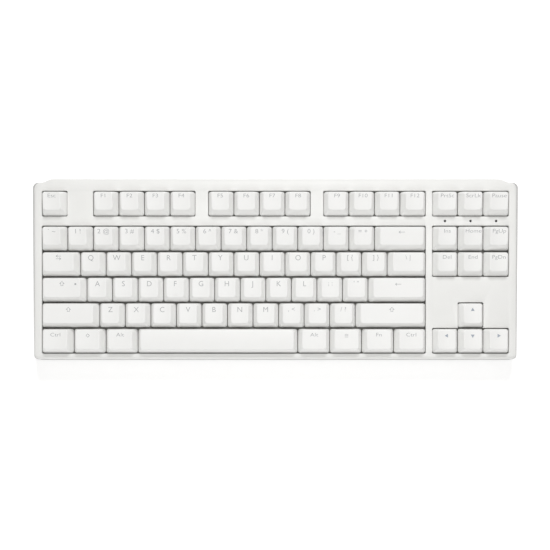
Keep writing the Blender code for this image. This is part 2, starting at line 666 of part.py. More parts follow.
def upper_well(typing_plane):
    """The room for the plate, down to the ledge that it rests on."""
    side = CASE_WIDTH / 2 - UPPER_WALL
    front = -CASE_DEPTH / 2 + UPPER_WALL + CLEARANCE
    back = CASE_DEPTH / 2 - REAR_OVERHANG - UPPER_WALL
    box = ((-side, front, LEDGE_HEIGHT), (side, back, WELL_CEILING))
    return object_from(add_boxes([box]), "upper_well", typing_plane)


def make_bottom_case(typing_plane):
    case = object_from(loft(bottom_case_rings()), "bottom_case", finish="white_case")
    pockets = add_boxes([pocket_box(side) for side in (-1, 1)])
    bores = bmesh.new()
    for side in (-1, 1):
        length = TALL_FOOT_WIDTH + 2 * (AXLE_END + CLEARANCE)
        add_cylinder(bores, AXLE_BORE, length, (side * FOOT_ACROSS, FOOT_AXIS_Y, FOOT_AXIS_Z), (1, 0, 0))
    grooves = []
    for name, y in STRIP_PLACES.items():
        half = Vector((STRIP_LENGTHS[name] / 2 + CLEARANCE, STRIP_WIDTH / 2 + CLEARANCE, 0))
        grooves.append((Vector((0, y, 0)) - half, Vector((0, y, STRIP_GROOVE)) + half))
    combine(case, lower_well(), "DIFFERENCE")
    combine(case, upper_well(typing_plane), "DIFFERENCE")
    combine(case, object_from(pockets, "foot_pockets"), "DIFFERENCE")
    combine(case, object_from(bores, "axle_bores"), "DIFFERENCE")
    combine(case, object_from(add_boxes(grooves), "strip_grooves"), "DIFFERENCE")
    combine(case, object_from(add_boxes([socket_hole()]), "socket_hole", typing_plane), "DIFFERENCE")
    combine(case, object_from(add_boxes([plug_recess()]), "plug_recess", typing_plane), "DIFFERENCE")


# The cable socket


def rear_wall_up():
    """The rear face of the bottom case at the socket's height, in the typing plane's frame."""
    rear = CASE_DEPTH / 2 - REAR_OVERHANG
    return (rear + SOCKET_LIFT * math.sin(TYPING_ANGLE)) / math.cos(TYPING_ANGLE)


def socket_hole():
    width, _, height = SOCKET_SIZE
    rear = rear_wall_up()
    return (Vector((SOCKET_ACROSS - width / 2 - CLEARANCE, rear - 20 * MM, SOCKET_LIFT - height / 2 - CLEARANCE)),
            Vector((SOCKET_ACROSS + width / 2 + CLEARANCE, rear, SOCKET_LIFT + height / 2 + CLEARANCE)))


def plug_recess():
    width, depth, height = RECESS_SIZE
    rear = rear_wall_up()
    return (Vector((SOCKET_ACROSS - width / 2, rear - depth, SOCKET_LIFT - height / 2)),
            Vector((SOCKET_ACROSS + width / 2, rear + depth, SOCKET_LIFT + height / 2)))


def make_socket(typing_plane):
    width, length, height = SOCKET_SIZE
    mouth = rear_wall_up() - RECESS_SIZE[1]
    bm = bmesh.new()
    add_box(bm, (-width / 2, mouth - length, -height / 2), (width / 2, mouth, height / 2))
    sides = [edge for edge in bm.edges if abs(edge.verts[0].co.y - edge.verts[1].co.y) > length / 2]
    bmesh.ops.bevel(bm, geom=sides, offset=SOCKET_ROUNDING, segments=3, profile=0.5, affect="EDGES")
    front = max(bm.faces, key=lambda face: face.calc_center_median().y)
    bmesh.ops.inset_individual(bm, faces=[front], thickness=SOCKET_WALL, use_even_offset=True)
    floor = bmesh.ops.extrude_discrete_faces(bm, faces=[front])["faces"][0]
    bmesh.ops.translate(bm, verts=floor.verts, vec=(0, -SOCKET_DEPTH, 0))
    bmesh.ops.inset_individual(bm, faces=[floor], thickness=TONGUE_GAP, use_even_offset=True)
    tip = bmesh.ops.extrude_discrete_faces(bm, faces=[floor])["faces"][0]
    bmesh.ops.translate(bm, verts=tip.verts, vec=(0, TONGUE_LENGTH, 0))
    object_from(bm, "cable_socket", typing_plane, (SOCKET_ACROSS, 0, SOCKET_LIFT), "steel")


# Feet and strips


def foot_bar(bm, half_width, length):
    """A flat bar that runs forwards from the hinge axis and is round behind it."""
    half = FOOT_THICKNESS / 2
    profile = [(-length, half), (-length, -half)]
    for i in range(FOOT_END_STEPS + 1):
        turn = math.pi * i / FOOT_END_STEPS
        profile.append((half * math.sin(turn), -half * math.cos(turn)))
    side = bm.faces.new([bm.verts.new((-half_width, y, z)) for y, z in profile])
    far = bmesh.ops.extrude_face_region(bm, geom=[side])["geom"]
    verts = [item for item in far if isinstance(item, bmesh.types.BMVert)]
    bmesh.ops.translate(bm, verts=verts, vec=(2 * half_width, 0, 0))


def make_feet():
    """On each side a short foot, which carries the axle, nests in the window of a tall one."""
    for side_name, side in (("left", -1), ("right", 1)):
        place = (side * FOOT_ACROSS, FOOT_AXIS_Y, FOOT_AXIS_Z)
        tall, short, bore, axle = bmesh.new(), bmesh.new(), bmesh.new(), bmesh.new()
        foot_bar(tall, TALL_FOOT_WIDTH / 2, TALL_FOOT_LENGTH)
        foot_bar(short, SHORT_FOOT_WIDTH / 2, SHORT_FOOT_LENGTH)
        add_cylinder(bore, AXLE_BORE, 2 * TALL_FOOT_WIDTH, (0, 0, 0), (1, 0, 0))
        add_cylinder(axle, AXLE_RADIUS, TALL_FOOT_WIDTH + 2 * AXLE_END, (0, 0, 0), (1, 0, 0))
        half = SHORT_FOOT_WIDTH / 2 + CLEARANCE
        window = add_boxes([((-half, -SHORT_FOOT_LENGTH - 2 * CLEARANCE, -FOOT_THICKNESS),
                             (half, FOOT_THICKNESS, FOOT_THICKNESS))])
        tall_foot = object_from(tall, f"{side_name}_tall_foot", place=place, finish="white_case")
        short_foot = object_from(short, f"{side_name}_short_foot", place=place, finish="white_case")
        combine(tall_foot, object_from(window, f"{side_name}_foot_window", place=place), "DIFFERENCE")
        combine(tall_foot, object_from(bore, f"{side_name}_foot_bore", place=place), "DIFFERENCE")
        combine(short_foot, object_from(axle, f"{side_name}_axle", place=place), "UNION")


def make_strips():
    for name, y in STRIP_PLACES.items():
        bm = bmesh.new()
        half = Vector((STRIP_LENGTHS[name] / 2, STRIP_WIDTH / 2, 0))
        add_box(bm, -half, half + Vector((0, 0, STRIP_HEIGHT)))
        uprights = [edge for edge in bm.edges if abs(edge.verts[0].co.z - edge.verts[1].co.z) > STRIP_HEIGHT / 2]
        bmesh.ops.bevel(bm, geom=uprights, offset=STRIP_WIDTH * 0.45, segments=4, profile=0.5, affect="EDGES")
        object_from(bm, f"{name}_rubber_strip", place=(0, y, 0), finish="grey_rubber")


def main():
    clear_scene()
    typing_plane = bpy.data.objects.new("typing_plane", None)
    bpy.context.scene.collection.objects.link(typing_plane)
    typing_plane.location = (0, 0, PLATE_HEIGHT)
    typing_plane.rotation_euler = (TYPING_ANGLE, 0, 0)
    keys = keys_by_name()
    make_keys(typing_plane, keys)
    make_stabiliser_wire(typing_plane, keys)
    make_spring(typing_plane, keys)
    make_plate(typing_plane, keys)
    make_switches(typing_plane, keys)
    make_board(typing_plane)
    columns, light_row = make_light_pipe(typing_plane)
    make_top_case(typing_plane, columns, light_row)
    make_bottom_case(typing_plane)
    make_socket(typing_plane)
    make_feet()
    make_strips()


main()
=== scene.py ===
import math

import bmesh
import bpy
from mathutils import Matrix, Vector


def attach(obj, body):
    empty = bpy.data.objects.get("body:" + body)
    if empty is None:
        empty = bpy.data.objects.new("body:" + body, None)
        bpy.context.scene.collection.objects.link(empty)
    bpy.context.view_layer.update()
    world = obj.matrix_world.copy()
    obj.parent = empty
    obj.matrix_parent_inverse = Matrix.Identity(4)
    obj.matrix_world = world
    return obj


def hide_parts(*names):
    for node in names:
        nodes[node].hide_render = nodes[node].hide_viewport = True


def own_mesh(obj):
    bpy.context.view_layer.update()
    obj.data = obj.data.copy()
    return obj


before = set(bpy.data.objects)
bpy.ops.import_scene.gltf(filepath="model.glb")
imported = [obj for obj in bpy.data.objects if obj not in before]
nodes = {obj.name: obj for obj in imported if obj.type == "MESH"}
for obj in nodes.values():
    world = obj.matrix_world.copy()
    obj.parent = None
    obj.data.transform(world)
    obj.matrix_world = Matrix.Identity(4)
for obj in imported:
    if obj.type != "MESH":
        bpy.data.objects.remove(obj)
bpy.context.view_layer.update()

mm = 0.001
print("frame loaded:", len(nodes), "nodes")

# the keys' own plane: its origin is the top of the switch plate in the middle of the case, and it leans back
board = {"height": 18.5 * mm, "lean": math.radians(5), "pitch": 19.05 * mm, "left": -9.125 * 19.05 * mm,
         "bottomRow": -53 * mm, "functionRow": 5.36}
keyPlane = Matrix.Translation((0, 0, board["height"])) @ Matrix.Rotation(board["lean"], 4, "X")


# finishes: colour, colour of the darker clouds and how strong they are, roughness and its spread, grain size and bump

plastics = {
    "caseWhite": {"color": (0.86, 0.86, 0.845), "shade": (0.815, 0.815, 0.795), "amount": 0.5, "cloud": 35,
                  "rough": 0.5, "spread": 0.14, "grain": 2600, "bump": 0.2, "depth": 0.08 * mm},
    # the lower shell is the same white plastic as the cover; its grey is painted shade, darkened to stand for the shade
    # on its sides
    "shellPaintedShade": {"color": (0.56, 0.56, 0.555), "shade": (0.51, 0.51, 0.50), "amount": 0.5, "cloud": 35,
                  "rough": 0.52, "spread": 0.14, "grain": 2400, "bump": 0.22, "depth": 0.08 * mm},
    "capWhite": {"color": (0.93, 0.93, 0.92), "shade": (0.89, 0.89, 0.875), "amount": 0.5, "cloud": 60,
                 "rough": 0.45, "spread": 0.14, "grain": 3400, "bump": 0.18, "depth": 0.06 * mm},
    "legendGrey": {"color": (0.44, 0.45, 0.46), "shade": (0.50, 0.51, 0.52), "amount": 0.5, "cloud": 300,
                   "rough": 0.5, "spread": 0.1, "grain": 3400, "bump": 0.1, "depth": 0.04 * mm},
    "legendBlue": {"color": (0.36, 0.40, 0.46), "shade": (0.42, 0.46, 0.52), "amount": 0.5, "cloud": 300,
                   "rough": 0.5, "spread": 0.1, "grain": 3400, "bump": 0.1, "depth": 0.04 * mm},
    "housingDark": {"color": (0.045, 0.043, 0.038), "shade": (0.07, 0.068, 0.06), "amount": 0.6, "cloud": 90,
                    "rough": 0.42, "spread": 0.2, "grain": 1500, "bump": 0.2, "depth": 0.1 * mm},
    "plateGrey": {"color": (0.58, 0.57, 0.54), "shade": (0.50, 0.49, 0.46), "amount": 0.7, "cloud": 50,
                  "rough": 0.5, "spread": 0.25, "grain": 1800, "bump": 0.35, "depth": 0.1 * mm},
    "boardWhite": {"color": (0.62, 0.64, 0.60), "shade": (0.50, 0.53, 0.48), "amount": 0.6, "cloud": 120,
                   "rough": 0.35, "spread": 0.15, "grain": 900, "bump": 0.15, "depth": 0.1 * mm},
    "foamGrey": {"color": (0.055, 0.055, 0.06), "shade": (0.13, 0.13, 0.135), "amount": 0.9, "cloud": 600,
                 "rough": 0.92, "spread": 0.1, "grain": 1200, "bump": 0.9, "depth": 0.4 * mm},
    "lensSmoke": {"color": (0.018, 0.018, 0.02), "shade": (0.03, 0.03, 0.032), "amount": 0.4, "cloud": 200,
                  "rough": 0.16, "spread": 0.06, "grain": 900, "bump": 0.05, "depth": 0.05 * mm},
    "rubberGrey": {"color": (0.09, 0.09, 0.092), "shade": (0.15, 0.15, 0.15), "amount": 0.7, "cloud": 160,
                   "rough": 0.82, "spread": 0.2, "grain": 1400, "bump": 0.6, "depth": 0.15 * mm},
    "tongueBlack": {"color": (0.02, 0.02, 0.022), "shade": (0.04, 0.04, 0.042), "amount": 0.5, "cloud": 300,
                    "rough": 0.38, "spread": 0.12, "grain": 1800, "bump": 0.15, "depth": 0.05 * mm},
}
# metals: their fine lines run along the axis with the small number
metals = {
    "springSteel": {"color": (0.62, 0.62, 0.64), "shade": (0.42, 0.42, 0.44), "rough": 0.28, "lines": (40, 1400, 1400)},
    "shellSteel": {"color": (0.66, 0.66, 0.68), "shade": (0.5, 0.5, 0.52), "rough": 0.3, "lines": (1600, 60, 1600)},
    "contactGold": {"color": (0.78, 0.56, 0.22), "shade": (0.6, 0.42, 0.16), "rough": 0.25, "lines": (1200, 90, 1200)},
}


def newGroup(name, ins, outs):
    group = bpy.data.node_groups.new(name, "ShaderNodeTree")
    for label, kind, value in ins:
        group.interface.new_socket(name=label, in_out="INPUT", socket_type="NodeSocket" + kind).default_value = value
    for label, kind in outs:
        group.interface.new_socket(name=label, in_out="OUTPUT", socket_type="NodeSocket" + kind)
    return group, group.nodes.new("NodeGroupInput").outputs, group.nodes.new("NodeGroupOutput").inputs


def plug(tree, value, socket):
    # a number is set on the socket and an output is linked to it
    if isinstance(value, bpy.types.NodeSocket):
        tree.links.new(value, socket)
    else:
        socket.default_value = value


def mathNode(tree, operation, *values):
    node = tree.nodes.new("ShaderNodeMath")
    node.operation = operation
    for value, socket in zip(values, node.inputs):
        plug(tree, value, socket)
    return node.outputs[0]


def noiseNode(tree, vector, scale, detail, rough=0.5):
    node = tree.nodes.new("ShaderNodeTexNoise")
    for label, value in {"Vector": vector, "Scale": scale, "Detail": detail, "Roughness": rough}.items():
        plug(tree, value, node.inputs[label])
    return node.outputs["Fac"]


def makeSparkGrain():
    # the fine spark-eroded skin of a moulded part: two sizes of grain, as a height and as a change of gloss
    group, ins, outs = newGroup("sparkGrain", [("Vector", "Vector", (0, 0, 0)), ("Scale", "Float", 2600),
                                               ("Base Roughness", "Float", 0.5), ("Spread", "Float", 0.12)],
                                [("Height", "Float"), ("Roughness", "Float")])
    fine = noiseNode(group, ins["Vector"], ins["Scale"], 2.0)
    broad = noiseNode(group, ins["Vector"], mathNode(group, "MULTIPLY", ins["Scale"], 0.31), 1.0)
    plug(group, mathNode(group, "MULTIPLY_ADD", fine, 0.65, mathNode(group, "MULTIPLY", broad, 0.35)), outs["Height"])
    swing = mathNode(group, "SUBTRACT", broad, 0.5)
    plug(group, mathNode(group, "MULTIPLY_ADD", swing, ins["Spread"], ins["Base Roughness"]), outs["Roughness"])
    return group


def makeToneDrift():
    # slow clouds of tone across a moulding, with a faint scatter of specks in them
    group, ins, outs = newGroup("toneDrift", [("Vector", "Vector", (0, 0, 0)), ("Color", "Color", (1, 1, 1, 1)),
                                              ("Shade", "Color", (0.8, 0.8, 0.8, 1)), ("Amount", "Float", 0.4),
                                              ("Scale", "Float", 40)], [("Color", "Color")])
    cloud = noiseNode(group, ins["Vector"], ins["Scale"], 3.0, 0.6)
    speck = noiseNode(group, ins["Vector"], mathNode(group, "MULTIPLY", ins["Scale"], 30.0), 1.0)
    ramp = group.nodes.new("ShaderNodeMapRange")
    mixed = mathNode(group, "MULTIPLY_ADD", cloud, 0.8, mathNode(group, "MULTIPLY", speck, 0.2))
    for label, value in {"Value": mixed, "From Min": 0.35, "From Max": 0.7}.items():
        plug(group, value, ramp.inputs[label])
    mix = group.nodes.new("ShaderNodeMix")
    mix.data_type = "RGBA"
    colors = [socket for socket in mix.inputs if socket.type == "RGBA"]
    plug(group, mathNode(group, "MULTIPLY", ramp.outputs[0], ins["Amount"]), mix.inputs[0])
    plug(group, ins["Color"], colors[0])
    plug(group, ins["Shade"], colors[1])
    plug(group, next(socket for socket in mix.outputs if socket.type == "RGBA"), outs["Color"])
    return group


sparkGrain = makeSparkGrain()
toneDrift = makeToneDrift()


def addGroup(tree, group, values):
    node = tree.nodes.new("ShaderNodeGroup")
    node.node_tree = group
    for label, value in values.items():
        plug(tree, value, node.inputs[label])
    return node.outputs


def makeMaterial(name, spec, lines=None):
    made = bpy.data.materials.new(name)
    made.use_nodes = True
    tree = made.node_tree
    shader = next(node for node in tree.nodes if node.type == "BSDF_PRINCIPLED")
    vector = tree.nodes.new("ShaderNodeTexCoord").outputs["Object"]
    if lines:
        mapping = tree.nodes.new("ShaderNodeMapping")
        mapping.inputs["Scale"].default_value = lines
        plug(tree, vector, mapping.inputs["Vector"])
        vector = mapping.outputs["Vector"]
    tone = addGroup(tree, toneDrift, {"Vector": vector, "Color": (*spec["color"], 1), "Shade": (*spec["shade"], 1),
                                      "Amount": spec.get("amount", 0.7), "Scale": spec.get("cloud", 0.6)})
    grain = addGroup(tree, sparkGrain, {"Vector": vector, "Scale": spec.get("grain", 1.0),
                                        "Base Roughness": spec["rough"], "Spread": spec.get("spread", 0.25)})
    bump = tree.nodes.new("ShaderNodeBump")
    bump.inputs["Strength"].default_value = spec.get("bump", 0.15)
    bump.inputs["Distance"].default_value = spec.get("depth", 0.05 * mm)
    plug(tree, grain["Height"], bump.inputs["Height"])
    plug(tree, tone["Color"], shader.inputs["Base Color"])
    plug(tree, grain["Roughness"], shader.inputs["Roughness"])
    plug(tree, bump.outputs["Normal"], shader.inputs["Normal"])
    shader.inputs["Metallic"].default_value = 1.0 if lines else 0.0
    shader.inputs["IOR"].default_value = 1.47
    return made


material = {name: makeMaterial(name, spec) for name, spec in plastics.items()}
material.update({name: makeMaterial(name, spec, spec["lines"]) for name, spec in metals.items()})
print("materials:", len(material))


# shared modelling steps

def finishPiece(bm, name, look, body, place=None, sharp=35):
    # the place put into the mesh, faces turned outwards, and smooth shading with the sharp edges kept
    if place is not None:
        bmesh.ops.transform(bm, matrix=place, verts=bm.verts)
    bmesh.ops.recalc_face_normals(bm, faces=bm.faces)
    for face in bm.faces:
        face.smooth = True
    for edge in bm.edges:
        edge.smooth = edge.is_manifold and edge.calc_face_angle(0) < math.radians(sharp)
    mesh = bpy.data.meshes.new(name)
    bm.to_mesh(mesh)
    bm.free()
    mesh.materials.append(material[look])
    piece = bpy.data.objects.new(name, mesh)
    bpy.context.scene.collection.objects.link(piece)
    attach(piece, body)
    return piece


def addBox(bm, low, high):
    low, high = Vector(low), Vector(high)
    size = Matrix.Diagonal((*(high - low), 1))
    return bmesh.ops.create_cube(bm, size=1, matrix=Matrix.Translation((low + high) / 2) @ size)["verts"]


def addRounded(bm, low, high, radius, axis=2, segments=4, soft=0):
    # a box with its edges along one axis rounded, and with soft the edges of its two ends too
    verts = addBox(bm, low, high)
    edges = {edge for vert in verts for edge in vert.link_edges}
    along = [edge for edge in edges if abs((edge.verts[0].co - edge.verts[1].co).normalized()[axis]) > 0.9]
    made = bmesh.ops.bevel(bm, geom=along, offset=radius, segments=segments, profile=0.5, affect="EDGES", material=-1)
    if soft:
        ends = {face for vert in made["verts"] for face in vert.link_faces if abs(face.normal[axis]) > 0.9}
        rims = {edge for face in ends for edge in face.edges}
        bmesh.ops.bevel(bm, geom=list(rims), offset=soft, segments=2, profile=0.5, affect="EDGES", material=-1)


def addRod(bm, radius, length, centre, direction, segments=24):
    turn = Vector((0, 0, 1)).rotation_difference(Vector(direction)).to_matrix().to_4x4()
    bmesh.ops.create_cone(bm, cap_ends=True, segments=segments, radius1=radius, radius2=radius, depth=length,
                          matrix=Matrix.Translation(centre) @ turn)


def loft(rings):
    # a closed solid whose skin runs through rings of points, from the first to the last
    bm = bmesh.new()
    loops = []
    for ring in rings:
        first = len(bm.edges)
        for vert, point in zip(bmesh.ops.create_circle(bm, segments=len(ring), radius=1)["verts"], ring):
            vert.co = point
        bm.edges.ensure_lookup_table()
        loops.append(list(bm.edges)[first:])
    for lower, upper in zip(loops, loops[1:]):
        bmesh.ops.bridge_loops(bm, edges=lower + upper)
    for end in (loops[0], loops[-1]):
        bmesh.ops.contextual_create(bm, geom=end)
    return bm


def scratch(bm, place=None):
    if place is not None:
        bmesh.ops.transform(bm, matrix=place, verts=bm.verts)
    bmesh.ops.recalc_face_normals(bm, faces=bm.faces)
    mesh = bpy.data.meshes.new("scratch")
    bm.to_mesh(mesh)
    bm.free()
    obj = bpy.data.objects.new("scratch", mesh)
    bpy.context.scene.collection.objects.link(obj)
    return obj


def carve(bm, cutters):
    # the solid in bm with each of the other solids cut from it or joined to it
    base = scratch(bm)
    for cutter, operation in cutters:
        step = base.modifiers.new("carve", "BOOLEAN")
        step.operation = operation
        step.object = cutter
    bpy.context.view_layer.update()
    result = bpy.data.meshes.new_from_object(base.evaluated_get(bpy.context.evaluated_depsgraph_get()))
    done = bmesh.new()
    done.from_mesh(result)
    for obj in [base, *(cutter for cutter, operation in cutters)]:
        bpy.data.objects.remove(obj)
    bmesh.ops.remove_doubles(done, verts=done.verts, dist=1e-7)
    return done


# where the keys are: each row's height above the bottom row in key units, its cap profile and its keys,
# with the widths that aren't 1; an empty name is a gap

keyRows = [
    (board["functionRow"], "high",
     ["escape", ("", 1), "f1", "f2", "f3", "f4", ("", 0.5), "f5", "f6", "f7", "f8", ("", 0.5),
      "f9", "f10", "f11", "f12", ("", 0.25), "print_screen", "scroll_lock", "pause"]),
    (4, "high",
     ["backquote", *"1234567890", "minus", "equals", ("backspace", 2), ("", 0.25), "insert", "home", "page_up"]),
    (3, "upper",
     [("tab", 1.5), *"qwertyuiop", "left_bracket", "right_bracket", ("backslash", 1.5), ("", 0.25),
      "delete", "end", "page_down"]),
    (2, "middle",
     [("caps_lock", 1.75), *"asdfghjkl", "semicolon", "quote", ("enter", 2.25)]),
    (1, "lower",
     [("left_shift", 2.25), *"zxcvbnm", "comma", "period", "slash", ("right_shift", 2.75), ("", 1.25), "up"]),
    (0, "lower",
     [("left_control", 1.25), ("left_system", 1.25), ("left_alt", 1.25), ("space", 6.25), ("right_alt", 1.25),
      ("right_system", 1.25), ("function_shift", 1.25), ("right_control", 1.25), ("", 0.25),
      "left", "down", "right"]),
]
banks = {
    "f1_f4_keys": ["f1", "f2", "f3", "f4"], "f5_f8_keys": ["f5", "f6", "f7", "f8"],
    "f9_f12_keys": ["f9", "f10", "f11", "f12"], "number_keys": ["backquote", *"1234567890", "minus", "equals"],
    "punctuation_keys": ["left_bracket", "right_bracket", "backslash", "semicolon", "quote",
                         "comma", "period", "slash"],
    "left_modifier_keys": ["left_control", "left_system", "left_alt"],
    "right_modifier_keys": ["right_alt", "right_system", "function_shift", "right_control"],
    "system_keys": ["print_screen", "scroll_lock", "pause"],
    "navigation_keys": ["insert", "home", "page_up", "delete", "end", "page_down"],
    "arrow_keys": ["up", "left", "down", "right"],
}
bankOf = {name: bank for bank, names in banks.items() for name in names}


def layOutKeys():
    found = {}
    for up, profile, entries in keyRows:
        units = 0
        for entry in entries:
            name, width = entry if isinstance(entry, tuple) else (entry, 1)
            if name:
                found[name] = {"across": board["left"] + (units + width / 2) * board["pitch"],
                               "up": board["bottomRow"] + up * board["pitch"], "width": width,
                               "profile": "space" if name == "space" else profile,
                               "node": bankOf.get(name, name + "_key")}
            units += width
    return found


keys = layOutKeys()

# keycaps

# height of the front and the back edge of the top above the cap's rim, and how far they stand in from it, in mm
capProfiles = {"high": (7.6, 9.6, 2.8, 1.7), "upper": (7.2, 8.5, 2.6, 1.4), "middle": (7.2, 7.7, 2.5, 1.1),
               "lower": (7.9, 7.6, 2.4, 0.8), "space": (7.4, 7.6, 2.0, 0.8)}
cap = {"base": 6.0 * mm, "gapAcross": 0.45 * mm, "gapDeep": 1.25 * mm, "sideInset": 2.75 * mm, "dish": 0.75 * mm,
       "crown": 0.9 * mm, "fillet": 0.75 * mm, "topCorner": 1.3 * mm, "rimCorner": 1.7 * mm, "leastCorner": 0.1 * mm,
       "wall": 1.3 * mm, "ceiling": 4.9 * mm, "bulge": 0.15 * mm, "cornerSteps": 3, "filletSteps": 3, "sideSteps": 3,
       "filletTurn": math.radians(70), "sharp": 42}
stem = {"halfX": 3.2 * mm, "halfY": 2.6 * mm, "foot": -1.5 * mm, "overlap": 0.2 * mm, "corner": 0.5 * mm}
homingBar = {"halfX": 1.6 * mm, "halfY": 0.3 * mm, "below": 0.3 * mm, "above": 0.4 * mm, "fromFront": 2.4 * mm,
             "corner": 0.28 * mm}


class CapForm:
    # the surfaces of one cap, in its own place: x across, y up the board and z above its rim
    def __init__(self, key):
        self.front, self.back, frontInset, backInset = [value * mm for value in capProfiles[key["profile"]]]
        self.rimX = (key["width"] * board["pitch"] - cap["gapAcross"]) / 2
        self.rimY = (board["pitch"] - cap["gapDeep"]) / 2
        self.halfX = self.rimX - cap["sideInset"]
        self.low, self.high = frontInset - self.rimY, self.rimY - backInset
        self.middle, self.halfY = (self.low + self.high) / 2, (self.high - self.low) / 2
        self.crowned = key["profile"] == "space"

    def topHeight(self, x, y):
        # the front edge to the back edge in a straight line, dished from side to side, or crowned on the space bar
        level = self.front + (self.back - self.front) * (y - self.low) / (self.high - self.low)
        if self.crowned:
            return level + cap["crown"] * max(0, 1 - ((y - self.middle) / self.halfY) ** 2)
        return level - cap["dish"] * max(0, 1 - (x / self.halfX) ** 2)

    def onRectangle(self, s, t, halfX, halfY, corner):
        # s and t run from -1 to 1 along the straight part of an edge and on to 2 round its corner
        def split(place, half):
            side = math.copysign(1, place)
            return side * min(abs(place), 1) * (half - corner), max(abs(place) - 1, 0), side
        x, bendX, sideX = split(s, halfX)
        y, bendY, sideY = split(t, halfY)
        return (x + sideX * corner * bendX * math.sqrt(1 - bendY ** 2 / 2),
                y + sideY * corner * bendY * math.sqrt(1 - bendX ** 2 / 2))

    def filletPoint(self, s, t, turn):
        # turn 0 is the flat top's edge; from there the surface rolls over into the side
        inset = cap["fillet"] * (1 - math.sin(turn) / math.sin(cap["filletTurn"]))
        x, y = self.onRectangle(s, t, self.halfX - inset, self.halfY - inset, cap["topCorner"] + cap["fillet"] - inset)
        return Vector((x, y + self.middle, self.topHeight(x, y + self.middle) - cap["fillet"] * (1 - math.cos(turn))))

    def rimPoint(self, s, t, inset=0):
        corner = max(cap["rimCorner"] - inset / 2, cap["leastCorner"])
        x, y = self.onRectangle(s, t, self.rimX - inset, self.rimY - inset, corner)
        return Vector((x, y, 0))

    def sidePoint(self, s, t, share):
        top, rim = self.filletPoint(s, t, cap["filletTurn"]), self.rimPoint(s, t)
        out = Vector((rim.x - top.x, rim.y - top.y, 0)).normalized()
        return top.lerp(rim, share) + out * cap["bulge"] * math.sin(math.pi * share)

    def ceilingPoint(self, s, t):
        rim = self.rimPoint(s, t, cap["wall"])
        lean = self.sidePoint(s, t, 1 - cap["ceiling"] / self.back) - self.rimPoint(s, t)
        return Vector((rim.x + lean.x, rim.y + lean.y, cap["ceiling"]))


def capMesh(key, homing=False):
    form = CapForm(key)
    steps = cap["cornerSteps"]
    spanX = 8 if key["width"] < 2 else 14
    spanY = 8 if form.crowned else 4
    bm = bmesh.new()
    bmesh.ops.create_grid(bm, x_segments=spanX + 2 * steps, y_segments=spanY + 2 * steps, size=1)
    layers = [bm.verts.layers.float.new("s"), bm.verts.layers.float.new("t")]

    def gridPlace(value, span):
        step = round(value * (span / 2 + steps))
        return math.copysign(min(abs(step), span / 2) / (span / 2) + max(abs(step) - span / 2, 0) / steps, value)
    for vert in bm.verts:
        vert[layers[0]], vert[layers[1]] = gridPlace(vert.co.x, spanX), gridPlace(vert.co.y, spanY)
        vert.co = form.filletPoint(vert[layers[0]], vert[layers[1]], 0)

    def nextRing(place):
        rim = [edge for edge in bm.edges if edge.is_boundary]
        for vert in bmesh.ops.extrude_edge_only(bm, edges=rim)["geom"]:
            if isinstance(vert, bmesh.types.BMVert):
                vert.co = place(vert[layers[0]], vert[layers[1]])
    for i in range(cap["filletSteps"]):
        nextRing(lambda s, t: form.filletPoint(s, t, cap["filletTurn"] * (i + 1) / cap["filletSteps"]))
    for i in range(cap["sideSteps"]):
        nextRing(lambda s, t: form.sidePoint(s, t, (i + 1) / cap["sideSteps"]))
    nextRing(lambda s, t: form.rimPoint(s, t, cap["wall"]))
    nextRing(form.ceilingPoint)
    bmesh.ops.holes_fill(bm, edges=[edge for edge in bm.edges if edge.is_boundary], sides=0)
    # the stem that stands in the switch, and the bar that a finger feels for on two of the caps
    addRounded(bm, (-stem["halfX"], -stem["halfY"], stem["foot"]),
               (stem["halfX"], stem["halfY"], cap["ceiling"] + stem["overlap"]), stem["corner"], 2, 2)
    if homing:
        y = form.low + homingBar["fromFront"]
        z = form.topHeight(0, y)
        addRounded(bm, (-homingBar["halfX"], y - homingBar["halfY"], z - homingBar["below"]),
                   (homingBar["halfX"], y + homingBar["halfY"], z + homingBar["above"]), homingBar["corner"], 2, 4)
    return bm


homingKeys = ("f", "j")
shownNodes = set()
for name, key in keys.items():
    place = keyPlane @ Matrix.Translation((key["across"], key["up"], cap["base"]))
    piece = finishPiece(capMesh(key, name in homingKeys), "cap_" + name, "capWhite", key["node"], place,
                        cap["sharp"])
    if key["node"] not in shownNodes:
        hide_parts(key["node"])
        shownNodes.add(key["node"])
print("keycaps:", len(keys))

# legends: thin grey inlays in the tops of the caps, centred across and at one distance from the rim behind

legend = {"setback": 3.15 * mm, "lift": 0.03 * mm, "depth": 0.14 * mm, "thin": -0.006, "strip": 0.8 * mm,
          "stroke": 0.32 * mm, "letter": 3.7 * mm, "pair": 3.1 * mm, "word": 2.6 * mm, "sign": 3.4 * mm,
          "wordStretch": 1.25, "pairStretch": 1.1}
words = {"escape": "Esc", "print_screen": "PrtSc", "scroll_lock": "ScrLk", "pause": "Pause", "insert": "Ins",
         "home": "Home", "page_up": "PgUp", "delete": "Del", "end": "End", "page_down": "PgDn", "left_control": "Ctrl",
         "left_alt": "Alt", "right_alt": "Alt", "function_shift": "Fn", "right_control": "Ctrl",
         **{f"f{i}": f"F{i}" for i in range(1, 13)}}
pairs = {"backquote": "` ~", "minus": "- _", "equals": "= +", "left_bracket": "[ {", "right_bracket": "] }",
         "backslash": "\\ |", "semicolon": "; :", "quote": "' \"", "comma": ", <", "period": ". >", "slash": "/ ?",
         **{digit: f"{digit} {sign}" for digit, sign in zip("1234567890", "!@#$%^&*()")}}
signs = {"backspace": "arrowLeft", "enter": "arrowLeft", "tab": "twoArrows", "caps_lock": "arrowAndDot",
         "left_shift": "hollowArrow", "right_shift": "hollowArrow", "left_system": "diamond",
         "right_system": "menuLines", "up": 0, "left": 90, "down": 180, "right": 270}


